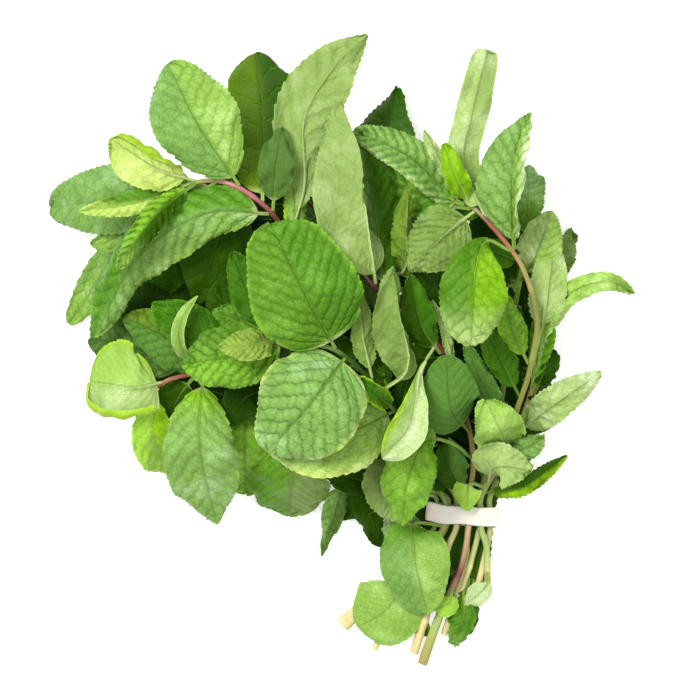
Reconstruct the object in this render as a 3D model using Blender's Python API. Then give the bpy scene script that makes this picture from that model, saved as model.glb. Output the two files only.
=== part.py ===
"""A bunch of mint: ten leafy stems held by a rubber band, lying on a flat surface.

The bunch is laid out with the middle of the band at x = 0, y = 0 and the
surface at z = 0. The leafy head lies towards +Y, the cut ends towards -Y.
Every length in the tables is in millimetres. At the end the whole bunch is
moved so that its origin is at the bottom centre of its box.
"""
import math

import bpy
import numpy as np

MM = 0.001
GAP = 0.3                 # clear space kept between neighbours

# rubber band: a flat loop around all the stems
BAND_WIDTH = 6.35         # a quarter-inch produce band
BAND_THICKNESS = 1.0
BAND_SPAN = 27.0          # outside, left to right
BAND_HEIGHT = 8.8         # outside, lowest to highest point
BAND_TURN = -4.5          # degrees about Z
BAND_CORNER = 3.4
BAND_CORNER_STEPS = 6

# stems: nearly square tubes that taper from the cut end to the tip
STEM_RADIUS = 1.25
STEM_TIP_RADIUS = 0.85
STEM_RINGS = 20
STEM_SIDES = 8
STEM_SQUARENESS = 0.10
CUT_FLARE = 0.25          # a thick cut end narrows to the stem's own size over this share of it
LOWER_LAYER = 2.75        # height of the stem axes inside the band
UPPER_LAYER = 5.85
BAND_REACH = 6.0          # the stems run straight this far either side of the band's middle

# leaves
BLADE_THICKNESS = 0.6
PETIOLE_THICKNESS = 1.3
PETIOLE_LENGTH = 4.0
PETIOLE_HALF_WIDTH = 0.65
TIP_HALF_WIDTH = 0.5
BLADE_STEPS = 7           # along the midrib
BLADE_COLUMNS = 4         # across
FULLEST_AT = 0.78         # exponent that puts the widest place nearer the foot
FOLD_STARTS_OVER = 0.25   # share of the blade over which its fold sets in
PETIOLE_MIDDLE = 0.6      # place of the petiole's middle row of points
CURVE_POINTS = 120        # points on each smooth curve before it is read at the rows

# finishes: a name, a colour and a roughness
UPPER_GREEN = ("leaf_upper", (0.13, 0.33, 0.05), 0.5)
UNDER_GREEN = ("leaf_underside", (0.38, 0.56, 0.20), 0.6)
YOUNG_GREEN = ("leaf_young", (0.45, 0.60, 0.10), 0.5)
DARK_GREEN = ("leaf_dark", (0.05, 0.15, 0.02), 0.5)
MAROON = ("stem_maroon", (0.27, 0.08, 0.07), 0.45)
OLIVE_TAN = ("stem_olive", (0.38, 0.32, 0.10), 0.45)
PALE_STEM = ("stem_pale", (0.45, 0.55, 0.22), 0.45)
CREAM_RUBBER = ("band_rubber", (0.86, 0.76, 0.68), 0.8)
SHARP_ANGLE = 40          # degrees


def leaf(path, width, roll=0, fold=6, petiole=PETIOLE_LENGTH, blunt=0.6, skin=UPPER_GREEN):
    """One leaf. path runs from its foot to its tip, and the foot is then moved to the stem.

    roll turns the blade about its midrib: 0 shows the upper face to the sky, 180 the
    underside. fold is how far each half rises from flat towards the upper face. A lower
    value of blunt gives a rounder foot and tip.
    """
    return {"path": path, "width": width, "roll": roll, "fold": fold,
            "petiole": petiole, "blunt": blunt, "skin": skin}


# "slot" is the stem's place inside the band, "below" its route from the cut end to the
# band and "above" its route from the band to its tip
STEMS = [
    # 1: the long stem on the upper left, maroon where it shows
    {"below": [(-34, -38, 4.6), (-17, -19, 5.6)], "slot": (-7, UPPER_LAYER),
     "above": [(-22, 28, 18), (-46, 65, 36), (-60, 93, 50), (-67, 106, 55), (-74, 113, 57),
               (-82, 118, 57), (-90, 120, 55), (-99, 119, 52)],
     "skin": MAROON,
     "leaves": [
         leaf([(-81, 117, 58), (-95, 140, 64), (-108, 162, 54)], 31, fold=5, blunt=0.5),
         leaf([(-73, 112, 53), (-71, 140, 32), (-75, 166, 0)], 26, blunt=0.5, skin=DARK_GREEN),
         leaf([(-69, 109, 56), (-67, 126, 62), (-65, 139, 58)], 12, fold=10),
         leaf([(-96, 119, 54), (-112, 127, 61), (-127, 133, 57)], 19, roll=175, blunt=0.5,
              skin=YOUNG_GREEN),
         leaf([(-93, 119, 50), (-108, 115, 43), (-125, 113, 39), (-149, 110, 14)], 22, fold=8, blunt=0.5),
         leaf([(-99, 119, 54), (-117, 113, 56), (-136, 111, 50)], 9, fold=30, petiole=2,
              skin=YOUNG_GREEN),
         leaf([(-96, 119, 52), (-110, 104, 61), (-124, 88, 55)], 9, fold=30, skin=YOUNG_GREEN),
         leaf([(-88, 120, 50), (-126, 96, 14), (-141, 70, 0)], 17, fold=12),
         leaf([(-70, 108, 57), (-93, 104, 55), (-116, 88, 49), (-132, 62, 36)], 23, roll=-8, fold=14),
         leaf([(-63, 99, 53), (-57, 119, 54.5), (-57, 142, 57), (-48, 159, 58.5), (-35, 171, 54)], 24,
              roll=182, petiole=10, skin=UNDER_GREEN),
     ]},
    # 2: the short red stem that ends on the left
    {"below": [(-25, -46, 1.5), (-12, -22, 2.2)], "slot": (-2.1, LOWER_LAYER),
     "above": [(-16, 21, 9), (-38, 35, 15), (-66, 44, 22), (-92, 50, 30), (-104, 49, 32), (-112, 45, 31)],
     "skin": MAROON,
     "leaves": [
         leaf([(-109, 46, 32), (-122, 49, 38), (-136, 51, 33)], 27, roll=184, petiole=2, blunt=0.5,
              skin=YOUNG_GREEN),
         leaf([(-111, 44, 31), (-110, 28, 26), (-105, 13, 0)], 17, fold=15, skin=YOUNG_GREEN),
         leaf([(-93, 49, 33), (-95, 23, 38), (-89, -4, 18)], 26, fold=3),
         leaf([(-100, 52, 30), (-118, 60, 26), (-133, 62, 14)], 20, fold=8),
     ]},
    # 3: the long stem on the right, bare along most of its length
    {"below": [(9.4, -26, 3.4), (9, -13, 5.2)], "slot": (7, UPPER_LAYER),
     "above": [(14, 20, 18), (19.8, 38, 34), (23.4, 49, 42), (25.6, 60, 48), (26.6, 69, 52), (25.2, 78, 55),
               (22, 87, 58), (18.7, 93, 59), (13.3, 100, 60), (6, 108, 59), (0.5, 112.5, 56)],
     "skin": OLIVE_TAN,
     "leaves": [
         leaf([(7, 107.5, 60), (-1, 127, 62), (2.5, 145, 63), (9, 167, 56)], 12, roll=186, fold=10,
              blunt=0.35, skin=UNDER_GREEN),
         leaf([(3, 111, 58), (-4, 122, 69), (-8, 133, 70)], 9, fold=14, blunt=0.5, skin=YOUNG_GREEN),
         leaf([(10, 103, 57), (-10, 117, 46), (-23, 133, 28), (-23.5, 154, 4)], 25, fold=6, skin=DARK_GREEN),
         leaf([(0.5, 112, 55), (-5, 115, 53), (-19, 127.5, 56), (-38, 136, 51)], 15, fold=24),
         leaf([(18, 95, 59), (17.5, 115, 67.5), (19, 130, 66.5), (24.5, 144, 58)], 28, roll=42, fold=42),
         leaf([(17, 95, 60), (8, 98, 67), (4, 86, 73), (2, 61, 68)], 25, fold=7, petiole=10, blunt=0.5),
         leaf([(4, 109, 59), (-7, 99, 61), (-20, 87, 56)], 20, roll=178, skin=UNDER_GREEN),
         leaf([(15, 23, 22), (13, 30, 44), (8, 41, 47)], 16, roll=178, petiole=8, blunt=0.45,
              skin=UNDER_GREEN),
         leaf([(10, 9, 12), (12, 17, 38), (25, 16, 38)], 18, roll=180, fold=10, petiole=14,
              skin=UNDER_GREEN),
     ]},
    # 4: carries the big round leaves on top of the bunch
    {"below": [(-17.5, -51, 1.5), (-12, -34, 4.6), (-6, -15, 5.7)], "slot": (-2.3, UPPER_LAYER),
     "above": [(-10, 20, 20), (-24, 37, 42), (-36, 51, 54), (-46, 59, 60), (-58, 62, 60), (-70, 64, 56)],
     "skin": PALE_STEM,
     "leaves": [
         leaf([(-46, 60, 61), (-56, 78, 75), (-69, 104, 70)], 41, fold=3, blunt=0.42),
         leaf([(-42, 57, 59), (-54, 41, 71), (-70, 23, 60)], 39, fold=2, petiole=2, blunt=0.4),
         leaf([(-24, 37, 43), (-46, 28, 57), (-72, 25, 48)], 29, fold=5, petiole=3, blunt=0.5),
         leaf([(-62, 62, 59), (-82, 57, 56), (-101, 54, 48)], 21, fold=6),
         leaf([(-67, 64, 58), (-76, 62, 69.5), (-88, 60, 64)], 9, fold=16, skin=YOUNG_GREEN),
         leaf([(-30, 44, 48), (-20, 53, 55.5), (-23, 72, 64), (-25, 89, 66)], 22, roll=130, fold=50,
              petiole=8, skin=UNDER_GREEN),
     ]},
    # 5: the maroon stem in the middle
    {"below": [(-14.4, -55, 1.6), (-8.3, -38, 4.6), (-0.4, -20, 5.7)], "slot": (2.3, UPPER_LAYER),
     "above": [(4, 17, 15), (2, 32, 26), (-7, 57, 42), (-14, 67, 48), (-24, 76, 54), (-31, 81, 58),
               (-38, 89, 60)],
     "skin": MAROON,
     "leaves": [
         leaf([(-31, 83, 59), (-35, 107, 67), (-37, 128, 66), (-44, 148, 60)], 38, roll=130, fold=50,
              skin=UNDER_GREEN),
         leaf([(-10, 61, 44), (-16, 53, 51.5), (-22, 37, 56.5), (-29, 19.5, 56)], 20, roll=150, fold=30,
              petiole=8, skin=UNDER_GREEN),
         leaf([(4, 20, 18), (-3, 25.5, 38), (-13, 26, 42), (-19, 12, 40), (-21, -4, 26)], 18, fold=4,
              petiole=29, blunt=0.5, skin=YOUNG_GREEN),
         leaf([(2, 30, 25), (-4, 38, 45.5), (-6, 57, 50)], 20, fold=-4, petiole=9, blunt=0.45),
     ]},
    # 6: leans to the right and carries the arching leaf
    {"below": [(6, -26, 1.5), (9, -13, 2.2)], "slot": (10.2, LOWER_LAYER),
     "above": [(15, 17, 10), (21, 32, 20), (26, 48, 30), (29, 64, 35), (30, 78, 37)],
     "skin": PALE_STEM,
     "leaves": [
         leaf([(26, 46, 30), (29, 62, 44), (33, 74, 50), (40, 81.5, 52), (50, 84.5, 48.5), (61, 80.5, 38)],
              12, roll=15, fold=30),
         leaf([(20, 30, 21), (33, 39, 42), (50, 51, 36)], 16, roll=184, fold=12, skin=UNDER_GREEN),
         leaf([(28, 62, 35), (33, 80, 50), (36, 97, 42)], 15, roll=180, blunt=0.5, skin=UNDER_GREEN),
         leaf([(30, 76, 37), (36, 88, 32), (41, 100, 0)], 11, fold=10),
     ]},
    # 7: low on the left
    {"below": [(-31, -48, 1.5), (-18, -24, 2.2)], "slot": (-6.2, LOWER_LAYER),
     "above": [(-25, 13, 8), (-45, 21, 13), (-64, 29, 17), (-79, 41, 19)],
     "skin": PALE_STEM,
     "leaves": [
         leaf([(-77, 39, 20), (-79, 25, 20), (-79, 10, 4)], 19, fold=8, petiole=2, blunt=0.5),
         leaf([(-58, 26, 16), (-62, 12, 18), (-63, 0, 0)], 30, fold=3, blunt=0.5),
     ]},
    # 8: low in the middle, with a thick cut end
    {"below": [(-40.7, -40, 2.5), (-24, -22, 2.4)], "slot": (-10.2, LOWER_LAYER),
     "above": [(-25, 7, 6), (-36, 9, 9), (-48, 11, 11)],
     "skin": PALE_STEM, "cut_radius": 2.2,
     "leaves": [
         leaf([(-38, 10, 10), (-33.5, 0, 9), (-30, -12.5, 0)], 12, fold=10, skin=DARK_GREEN),
         leaf([(-44, 10, 11), (-46, -2, 9), (-50.5, -15, 0)], 10, fold=12),
     ]},
    # 9: low in the middle of the head
    {"below": [(-8, -36, 1.5), (0, -18, 2.2)], "slot": (2.1, LOWER_LAYER),
     "above": [(-4, 24, 10), (-14, 54, 20), (-30, 86, 30), (-46, 104, 37), (-57, 113, 40)],
     "skin": MAROON,
     "leaves": [
         leaf([(-29, 86, 31), (-21, 93, 46), (-20.5, 105, 55), (-19.5, 118, 57)], 14, roll=160, fold=60,
              petiole=14, skin=UNDER_GREEN),
     ]},
    # 10: low on the right
    {"below": [(-5, -43, 1.5), (2, -22, 2.2)], "slot": (6.3, LOWER_LAYER),
     "above": [(12, 26, 8), (16, 54, 14), (20, 80, 24), (23, 98, 32)],
     "skin": PALE_STEM,
     "leaves": [
         leaf([(22, 97, 32), (24, 112, 30), (24, 126, 0)], 12, fold=8, blunt=0.5, skin=DARK_GREEN),
         leaf([(21, 84, 28), (28, 97, 40), (32, 108, 38)], 14, fold=8, blunt=0.5),
         leaf([(11, 9, 5), (23, 8, 21.5), (37, 19, 16)], 7, fold=20, skin=DARK_GREEN),
     ]},
]

# the leaves near and below the band, each with the number of its stem
LATE_LEAVES = [
    (1, leaf([(-10, -7, 7), (-17, -19, 15), (-13, -36, 10)], 27, fold=4, blunt=0.5)),
    (1, leaf([(-20, -22, 6), (-28, -33, 7), (-40, -36, 6)], 26, fold=4, blunt=0.5)),
    (3, leaf([(9.3, -22, 5), (7, -28, 8), (0, -34, 5)], 8, fold=12, skin=UNDER_GREEN)),
    (3, leaf([(9, 8, 11), (5, 7, 14), (1, 1, 12)], 10, fold=8, petiole=3, skin=YOUNG_GREEN)),
]


def clear_scene():
    """Start from an empty scene."""
    for scene_object in list(bpy.data.objects):
        bpy.data.objects.remove(scene_object, do_unlink=True)


def material(name, colour, roughness):
    """A plain Principled material, made once for each name."""
    found = bpy.data.materials.get(name)
    if found:
        return found
    made = bpy.data.materials.new(name)
    made.use_nodes = True
    shader = made.node_tree.nodes["Principled BSDF"]
    shader.inputs["Base Color"].default_value = (*colour, 1)
    shader.inputs["Roughness"].default_value = roughness
    shader.inputs["Metallic"].default_value = 0
    return made


def smooth_path(points, count):
    """A Catmull-Rom curve through the points, read at evenly spaced places."""
    points = np.array(points, float)
    ends = np.vstack([2 * points[0] - points[1], points, 2 * points[-1] - points[-2]])
    fine = []
    for i in range(1, len(ends) - 2):
        a, b, c, d = ends[i - 1:i + 3]
        t = np.linspace(0, 1, 40, endpoint=False)[:, None]
        fine.append(0.5 * (2 * b + (c - a) * t + (2 * a - 5 * b + 4 * c - d) * t ** 2
                           + (3 * b - a - 3 * c + d) * t ** 3))
    fine = np.vstack(fine + [points[-1:]])
    lengths = np.linalg.norm(np.diff(fine, axis=0), axis=1)
    along = np.concatenate([[0], np.cumsum(lengths)])
    wanted = np.linspace(0, along[-1], count)
    return np.column_stack([np.interp(wanted, along, fine[:, k]) for k in range(3)])


def unit(vectors):
    """Vectors scaled to length 1."""
    return vectors / np.linalg.norm(vectors, axis=-1, keepdims=True)


def grid_faces(rows, columns, first, flip):
    """Quads of a grid whose points start at index first."""
    faces = []
    for i in range(rows - 1):
        for j in range(columns - 1):
            a = first + i * columns + j
            quad = (a, a + 1, a + columns + 1, a + columns)
            faces.append(quad[::-1] if flip else quad)
    return faces


def stem_route(stem):
    """The stem's points from its cut end, straight through its slot in the band, to its tip."""
    x, z = stem["slot"]
    through = [(x, y, z) for y in (-BAND_REACH, 0, BAND_REACH)]
    return stem["below"] + through + stem["above"]


def stem_mesh(stem):
    """A nearly square tube along the stem's path, with closed ends."""
    path = smooth_path(stem_route(stem), STEM_RINGS)
    tangents = unit(np.gradient(path, axis=0))
    side = unit(np.cross(tangents, (0, 0, 1)))
    up = np.cross(side, tangents)
    part_way = np.linspace(0, 1, STEM_RINGS)
    flare = stem.get("cut_radius", STEM_RADIUS) - STEM_RADIUS
    radius = STEM_RADIUS + (STEM_TIP_RADIUS - STEM_RADIUS) * part_way
    radius = radius + flare * np.clip(1 - part_way / CUT_FLARE, 0, 1)
    angle = (np.arange(STEM_SIDES) + 0.5) * 2 * math.pi / STEM_SIDES
    outline = 1 - STEM_SQUARENESS * np.cos(4 * angle)
    across = radius[:, None] * np.cos(angle) * outline
    rise = radius[:, None] * np.sin(angle) * outline
    points = path[:, None, :] + side[:, None, :] * across[..., None] + up[:, None, :] * rise[..., None]
    faces = []
    for i in range(STEM_RINGS - 1):
        for j in range(STEM_SIDES):
            a = i * STEM_SIDES + j
            b = i * STEM_SIDES + (j + 1) % STEM_SIDES
            faces.append((b, a, a + STEM_SIDES, b + STEM_SIDES))
    last = (STEM_RINGS - 1) * STEM_SIDES
    faces.append(tuple(range(STEM_SIDES)))
    faces.append(tuple(last + j for j in reversed(range(STEM_SIDES))))
    return points.reshape(-1, 3), faces


def half_width(part_way, blunt):
    """Half the width of a blade of width 1, from its start at 0 to its tip at 1: an egg shape."""
    return 0.5 * np.clip(np.sin(math.pi * np.clip(part_way, 0, 1) ** FULLEST_AT), 0, 1) ** blunt


def foot_on_stem(path, stem):
    """The leaf's path with its foot moved to the side of the stem that faces the leaf."""
    axis = smooth_path(stem_route(stem), 2 * CURVE_POINTS)
    path = np.array(path, float)
    nearest = int(np.argmin(np.linalg.norm(axis - path[0], axis=1)))
    nearest = min(max(nearest, 1), len(axis) - 2)
    tangent = unit(axis[nearest + 1] - axis[nearest - 1])
    outward = path[1] - axis[nearest]
    outward = unit(outward - tangent * outward.dot(tangent))
    stand_off = STEM_RADIUS * (1 + STEM_SQUARENESS) + PETIOLE_THICKNESS / 2 + GAP
    path[0] = axis[nearest] + outward * stand_off
    return path


def leaf_midrib(spec, stem):
    """The midrib read at each row of the mesh, and how far along the leaf each row is."""
    fine = smooth_path(foot_on_stem(spec["path"], stem), CURVE_POINTS)
    length = np.linalg.norm(np.diff(fine, axis=0), axis=1).sum()
    start = spec["petiole"] / length
    part_way = np.concatenate([[0, PETIOLE_MIDDLE * start], np.linspace(start, 1, BLADE_STEPS)])
    fine_part_way = np.linspace(0, 1, CURVE_POINTS)
    midrib = np.column_stack([np.interp(part_way, fine_part_way, fine[:, k]) for k in range(3)])
    return midrib, part_way, (part_way - start) / (1 - start)


def leaf_grid(spec, midrib, part_way, blade):
    """The middle surface of a leaf as rows of points across the midrib, and its normals."""
    tangents = unit(np.gradient(midrib, part_way, axis=0))
    side = unit(np.cross(tangents, (0, 0, 1)))
    up = np.cross(side, tangents)
    roll = math.radians(spec["roll"])
    side, up = side * math.cos(roll) + up * math.sin(roll), up * math.cos(roll) - side * math.sin(roll)
    half = spec["width"] * half_width(blade, spec["blunt"])
    half = np.maximum(half, np.where(blade <= 0, PETIOLE_HALF_WIDTH, TIP_HALF_WIDTH))
    v = np.linspace(-1, 1, BLADE_COLUMNS + 1)
    fold = np.radians(spec["fold"]) * np.clip(blade / FOLD_STARTS_OVER, 0, 1)
    across = half[:, None] * v * np.cos(fold)[:, None]
    rise = half[:, None] * np.abs(v) * np.sin(fold)[:, None]
    middle = midrib[:, None, :] + side[:, None, :] * across[..., None] + up[:, None, :] * rise[..., None]
    normals = unit(np.cross(np.gradient(middle, v, axis=1), np.gradient(middle, part_way, axis=0)))
    return middle, normals


def leaf_mesh(spec, stem):
    """A thin closed blade on a petiole, lying on the surface where it reaches down to it."""
    midrib, part_way, blade = leaf_midrib(spec, stem)
    middle, normals = leaf_grid(spec, midrib, part_way, blade)
    half_thick = np.where(blade <= 0, PETIOLE_THICKNESS, BLADE_THICKNESS)[:, None, None] / 2
    top = (middle + normals * half_thick).reshape(-1, 3)
    bottom = (middle - normals * half_thick).reshape(-1, 3)
    top[:, 2] = np.maximum(top[:, 2], BLADE_THICKNESS)
    bottom[:, 2] = np.maximum(bottom[:, 2], 0)
    rows, columns = middle.shape[:2]
    under = rows * columns
    faces = grid_faces(rows, columns, 0, False) + grid_faces(rows, columns, under, True)
    rim = [i * columns for i in range(rows)]
    rim += [(rows - 1) * columns + j for j in range(1, columns)]
    rim += [i * columns + columns - 1 for i in range(rows - 2, -1, -1)]
    rim += [j for j in range(columns - 2, 0, -1)]
    for a, b in zip(rim, rim[1:] + rim[:1]):
        faces.append((a, b, b + under, a + under))
    return np.vstack([top, bottom]), faces


def band_section():
    """The band's outline across the bunch, at its outer and its inner face: rounded rectangles."""
    corners = ((1, 1, 0), (-1, 1, 90), (-1, -1, 180), (1, -1, 270))
    outer, inner = [], []
    for sign_x, sign_z, start in corners:
        centre_x = sign_x * (BAND_SPAN / 2 - BAND_CORNER)
        centre_z = BAND_HEIGHT / 2 + sign_z * (BAND_HEIGHT / 2 - BAND_CORNER)
        for angle in np.radians(np.linspace(start, start + 90, BAND_CORNER_STEPS + 1)):
            for loop, reach in ((outer, BAND_CORNER), (inner, BAND_CORNER - BAND_THICKNESS)):
                loop.append((centre_x + reach * math.cos(angle), centre_z + reach * math.sin(angle)))
    return outer, inner


def band_mesh():
    """A flat loop: its outline drawn out along Y and turned a little about Z."""
    outer, inner = band_section()
    cosine, sine = math.cos(math.radians(BAND_TURN)), math.sin(math.radians(BAND_TURN))
    front, back = -BAND_WIDTH / 2, BAND_WIDTH / 2
    points = []
    for y, loop in ((front, outer), (front, inner), (back, inner), (back, outer)):
        for x, z in loop:
            points.append((x * cosine - y * sine, x * sine + y * cosine, z))
    count = len(outer)
    faces = []
    for side in range(4):
        first, second = side * count, (side + 1) % 4 * count
        for k in range(count):
            after = (k + 1) % count
            faces.append((first + k, first + after, second + after, second + k))
    return np.array(points), faces


def add_object(name, points, faces, made_material, offset):
    """A named object from points in millimetres."""
    mesh = bpy.data.meshes.new(name)
    mesh.from_pydata([tuple((p + offset) * MM) for p in points], [], faces)
    mesh.materials.append(made_material)
    mesh.shade_smooth()
    mesh.set_sharp_from_angle(angle=math.radians(SHARP_ANGLE))
    mesh.update()
    added = bpy.data.objects.new(name, mesh)
    bpy.context.collection.objects.link(added)
    return added


def all_pieces():
    """The band, then the stems, then every leaf, each as (name, points, faces, material)."""
    pieces = [("rubber_band", *band_mesh(), material(*CREAM_RUBBER))]
    for number, stem in enumerate(STEMS, 1):
        pieces.append((f"stem_{number}", *stem_mesh(stem), material(*stem["skin"])))
    planned = [(number, spec) for number, stem in enumerate(STEMS, 1) for spec in stem["leaves"]]
    planned += LATE_LEAVES
    made = dict.fromkeys(range(1, len(STEMS) + 1), 0)
    for number, spec in planned:
        made[number] += 1
        name = f"stem_{number}_leaf_{made[number]}"
        pieces.append((name, *leaf_mesh(spec, STEMS[number - 1]), material(*spec["skin"])))
    return pieces


def main():
    clear_scene()
    pieces = all_pieces()
    everything = np.vstack([points for _, points, _, _ in pieces])
    low, high = everything.min(axis=0), everything.max(axis=0)
    offset = -np.array([(low[0] + high[0]) / 2, (low[1] + high[1]) / 2, low[2]])
    for name, points, faces, made_material in pieces:
        add_object(name, points, faces, made_material, offset)


main()
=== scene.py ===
import math

import bpy
import numpy as np
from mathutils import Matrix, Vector
from mathutils.bvhtree import BVHTree


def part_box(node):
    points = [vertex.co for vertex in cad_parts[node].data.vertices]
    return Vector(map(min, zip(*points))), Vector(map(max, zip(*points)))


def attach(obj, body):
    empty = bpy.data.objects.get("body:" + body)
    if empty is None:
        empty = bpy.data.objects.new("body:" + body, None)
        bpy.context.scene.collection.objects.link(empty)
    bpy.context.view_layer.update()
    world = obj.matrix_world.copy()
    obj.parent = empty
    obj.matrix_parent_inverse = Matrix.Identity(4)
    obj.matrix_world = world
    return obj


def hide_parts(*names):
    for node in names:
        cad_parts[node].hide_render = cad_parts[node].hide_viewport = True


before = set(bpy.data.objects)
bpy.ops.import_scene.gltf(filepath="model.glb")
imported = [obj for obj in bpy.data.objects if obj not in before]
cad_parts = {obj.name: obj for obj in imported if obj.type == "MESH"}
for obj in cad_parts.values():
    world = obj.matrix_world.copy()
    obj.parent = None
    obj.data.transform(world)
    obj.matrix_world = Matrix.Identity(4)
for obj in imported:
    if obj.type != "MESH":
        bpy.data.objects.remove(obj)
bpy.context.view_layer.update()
print("frame loaded:", len(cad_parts), "CAD pieces")

# Lengths are in millimetres from the middle of the rubber band, with the leafy head towards +Y and the surface
# at z = 0.
mm = 0.001
bandLow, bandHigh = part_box("rubber_band")
bandMiddle = np.array([(bandLow.x + bandHigh.x) / 2, (bandLow.y + bandHigh.y) / 2, 0]) / mm

# colours of fresh mint, as screen colours; inner, the darkest, is painted shade for leaves deep in the bunch
tones = {
    "mid": (90, 138, 32), "fresh": (118, 170, 44), "deep": (62, 110, 18), "dark": (44, 80, 4),
    "bluish": (114, 156, 72), "pale": (124, 166, 80), "grey": (82, 112, 44), "olive": (100, 130, 36),
    "under": (138, 164, 88), "palest": (160, 186, 108), "white": (188, 210, 146),
    "shadedUnder": (116, 144, 66), "young": (148, 186, 44), "lime": (146, 194, 26), "yellow": (180, 206, 100),
    "vivid": (118, 170, 14), "smooth": (124, 164, 78), "inner": (32, 62, 6), "paleYoung": (184, 206, 104),
    "soft": (136, 176, 74), "satin": (86, 128, 50), "leafy": (90, 148, 20), "pleated": (136, 164, 66),
    "apple": (148, 188, 80), "rich": (78, 130, 26), "mossy": (82, 114, 8), "slate": (80, 112, 48),
    "glow": (160, 208, 70), "straw": (204, 178, 122), "maroon": (120, 52, 48), "wine": (84, 30, 34),
    "pink": (178, 100, 104), "rust": (158, 96, 60), "tan": (164, 148, 76), "oliveStem": (146, 146, 70),
    "paleStem": (160, 182, 96), "greenStem": (122, 156, 52), "cut": (214, 200, 138), "cutRim": (176, 150, 92),
    "cream": (255, 250, 236),
}


def linear(screenColour):
    # screen colour to light: the usual power curve with its straight foot
    c = np.array(screenColour, float) / 255
    return np.where(c <= 0.04045, c / 12.92, ((c + 0.055) / 1.055) ** 2.4)


tone = {name: linear(value) for name, value in tones.items()}


def unit(vectors):
    # the same directions with length 1
    return vectors / np.maximum(np.linalg.norm(vectors, axis=-1, keepdims=True), 1e-12)


def smoothStep(value, start, end):
    # rises from 0 at start to 1 at end as t t (3 - 2 t)
    t = np.clip((value - start) / (end - start), 0, 1)
    return t * t * (3 - 2 * t)


def distances(line):
    # how far along the line each of its points is
    return np.concatenate([[0], np.cumsum(np.linalg.norm(np.diff(line, axis=0), axis=1))])


def readAt(wanted, along, table):
    # the table's columns at the wanted places between its rows
    return np.column_stack([np.interp(wanted, along, column) for column in table.T])


def smoothPath(points, count):
    # Catmull-Rom curve through the points, read at evenly spaced distances
    points = np.array(points, float)
    ends = np.vstack([2 * points[0] - points[1], points, 2 * points[-1] - points[-2]])
    a, b, c, d = (ends[i:len(ends) - 3 + i, None, :] for i in range(4))
    t = np.linspace(0, 1, 40, endpoint=False)[None, :, None]
    fine = 0.5 * (2 * b + (c - a) * t + (2 * a - 5 * b + 4 * c - d) * t ** 2
                  + (3 * b - a - 3 * c + d) * t ** 3)
    fine = np.vstack([fine.reshape(-1, 3), points[-1:]])
    along = distances(fine)
    return readAt(np.linspace(0, along[-1], count), along, fine)


def normals(surface):
    # unit vectors square to a grid of points
    return unit(np.cross(np.gradient(surface, axis=1), np.gradient(surface, axis=0)))


def gridQuads(rows, columns, first=0, closed=False, flip=False):
    # quads between neighbouring rows and columns; a closed grid joins its last column to its first
    i = np.arange(rows - 1)[:, None]
    j = np.arange(columns if closed else columns - 1)[None, :]
    nextColumn = (j + 1) % columns
    quads = np.stack([i * columns + j, i * columns + nextColumn, (i + 1) * columns + nextColumn,
                      (i + 1) * columns + j], axis=-1).reshape(-1, 4) + first
    return quads[:, ::-1] if flip else quads


def makePiece(name, points, quads, materials, materialIndex, slot, replaced=None, **attributes):
    # a mesh object from arrays of points in millimetres and quads, with one value or colour per point
    mesh = bpy.data.meshes.new(name)
    mesh.vertices.add(len(points))
    mesh.vertices.foreach_set("co", ((points + bandMiddle) * mm).astype(np.float32).ravel())
    mesh.loops.add(quads.size)
    mesh.loops.foreach_set("vertex_index", quads.astype(np.int32).ravel())
    mesh.polygons.add(len(quads))
    mesh.polygons.foreach_set("loop_start", np.arange(0, quads.size, 4, dtype=np.int32))
    mesh.polygons.foreach_set("material_index", materialIndex.astype(np.int32))
    mesh.update(calc_edges=True)
    mesh.validate()
    for key, values in attributes.items():
        isColour = values.shape[1] == 4
        made = mesh.attributes.new(key, "FLOAT_COLOR" if isColour else "FLOAT_VECTOR", "POINT")
        made.data.foreach_set("color" if isColour else "vector", values.astype(np.float32).ravel())
    for used in materials:
        mesh.materials.append(used)
    mesh.shade_smooth()
    mesh.set_sharp_from_angle(angle=math.radians(55))
    piece = bpy.data.objects.new(name, mesh)
    bpy.context.scene.collection.objects.link(piece)
    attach(piece, "root")
    if replaced:
        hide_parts(replaced)
    return piece


def plug(tree, node, inputs):
    # sets a node's inputs, by name or number, or links them to sockets
    for key, value in inputs.items():
        if isinstance(value, bpy.types.NodeSocket):
            tree.links.new(value, node.inputs[key])
        else:
            node.inputs[key].default_value = value
    return node


def addNode(tree, kind, inputs=None, **settings):
    # a shader node with its settings and inputs
    made = tree.nodes.new(kind)
    for key, value in settings.items():
        setattr(made, key, value)
    return plug(tree, made, inputs or {})


def calc(tree, operation, *values):
    return addNode(tree, "ShaderNodeMath", dict(enumerate(values)), operation=operation).outputs[0]


def mixColour(tree, amount, first, second):
    return addNode(tree, "ShaderNodeMix", {0: amount, 6: first, 7: second}, data_type="RGBA").outputs[2]


def scaled(tree, colour, light):
    return addNode(tree, "ShaderNodeVectorMath", {0: colour, "Scale": light}, operation="SCALE").outputs[0]


def multiplied(tree, vector, factors):
    return addNode(tree, "ShaderNodeVectorMath", {0: vector, 1: factors}, operation="MULTIPLY").outputs[0]


def varied(tree, light, change, amount, middle=0.5):
    # the light plus amount times how far the change is above its middle
    return calc(tree, "MULTIPLY_ADD", change, amount, calc(tree, "SUBTRACT", light, amount * middle))


def ramp(tree, value, start, end, low=0.0, high=1.0):
    # a smooth step from low to high
    return addNode(tree, "ShaderNodeMapRange", {0: value, 1: start, 2: end, 3: low, 4: high},
                   interpolation_type="SMOOTHSTEP").outputs[0]


def noise(tree, vector, scale, detail):
    inputs = {"Vector": vector, "Scale": scale, "Detail": detail}
    return addNode(tree, "ShaderNodeTexNoise", inputs).outputs["Fac"]


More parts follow.
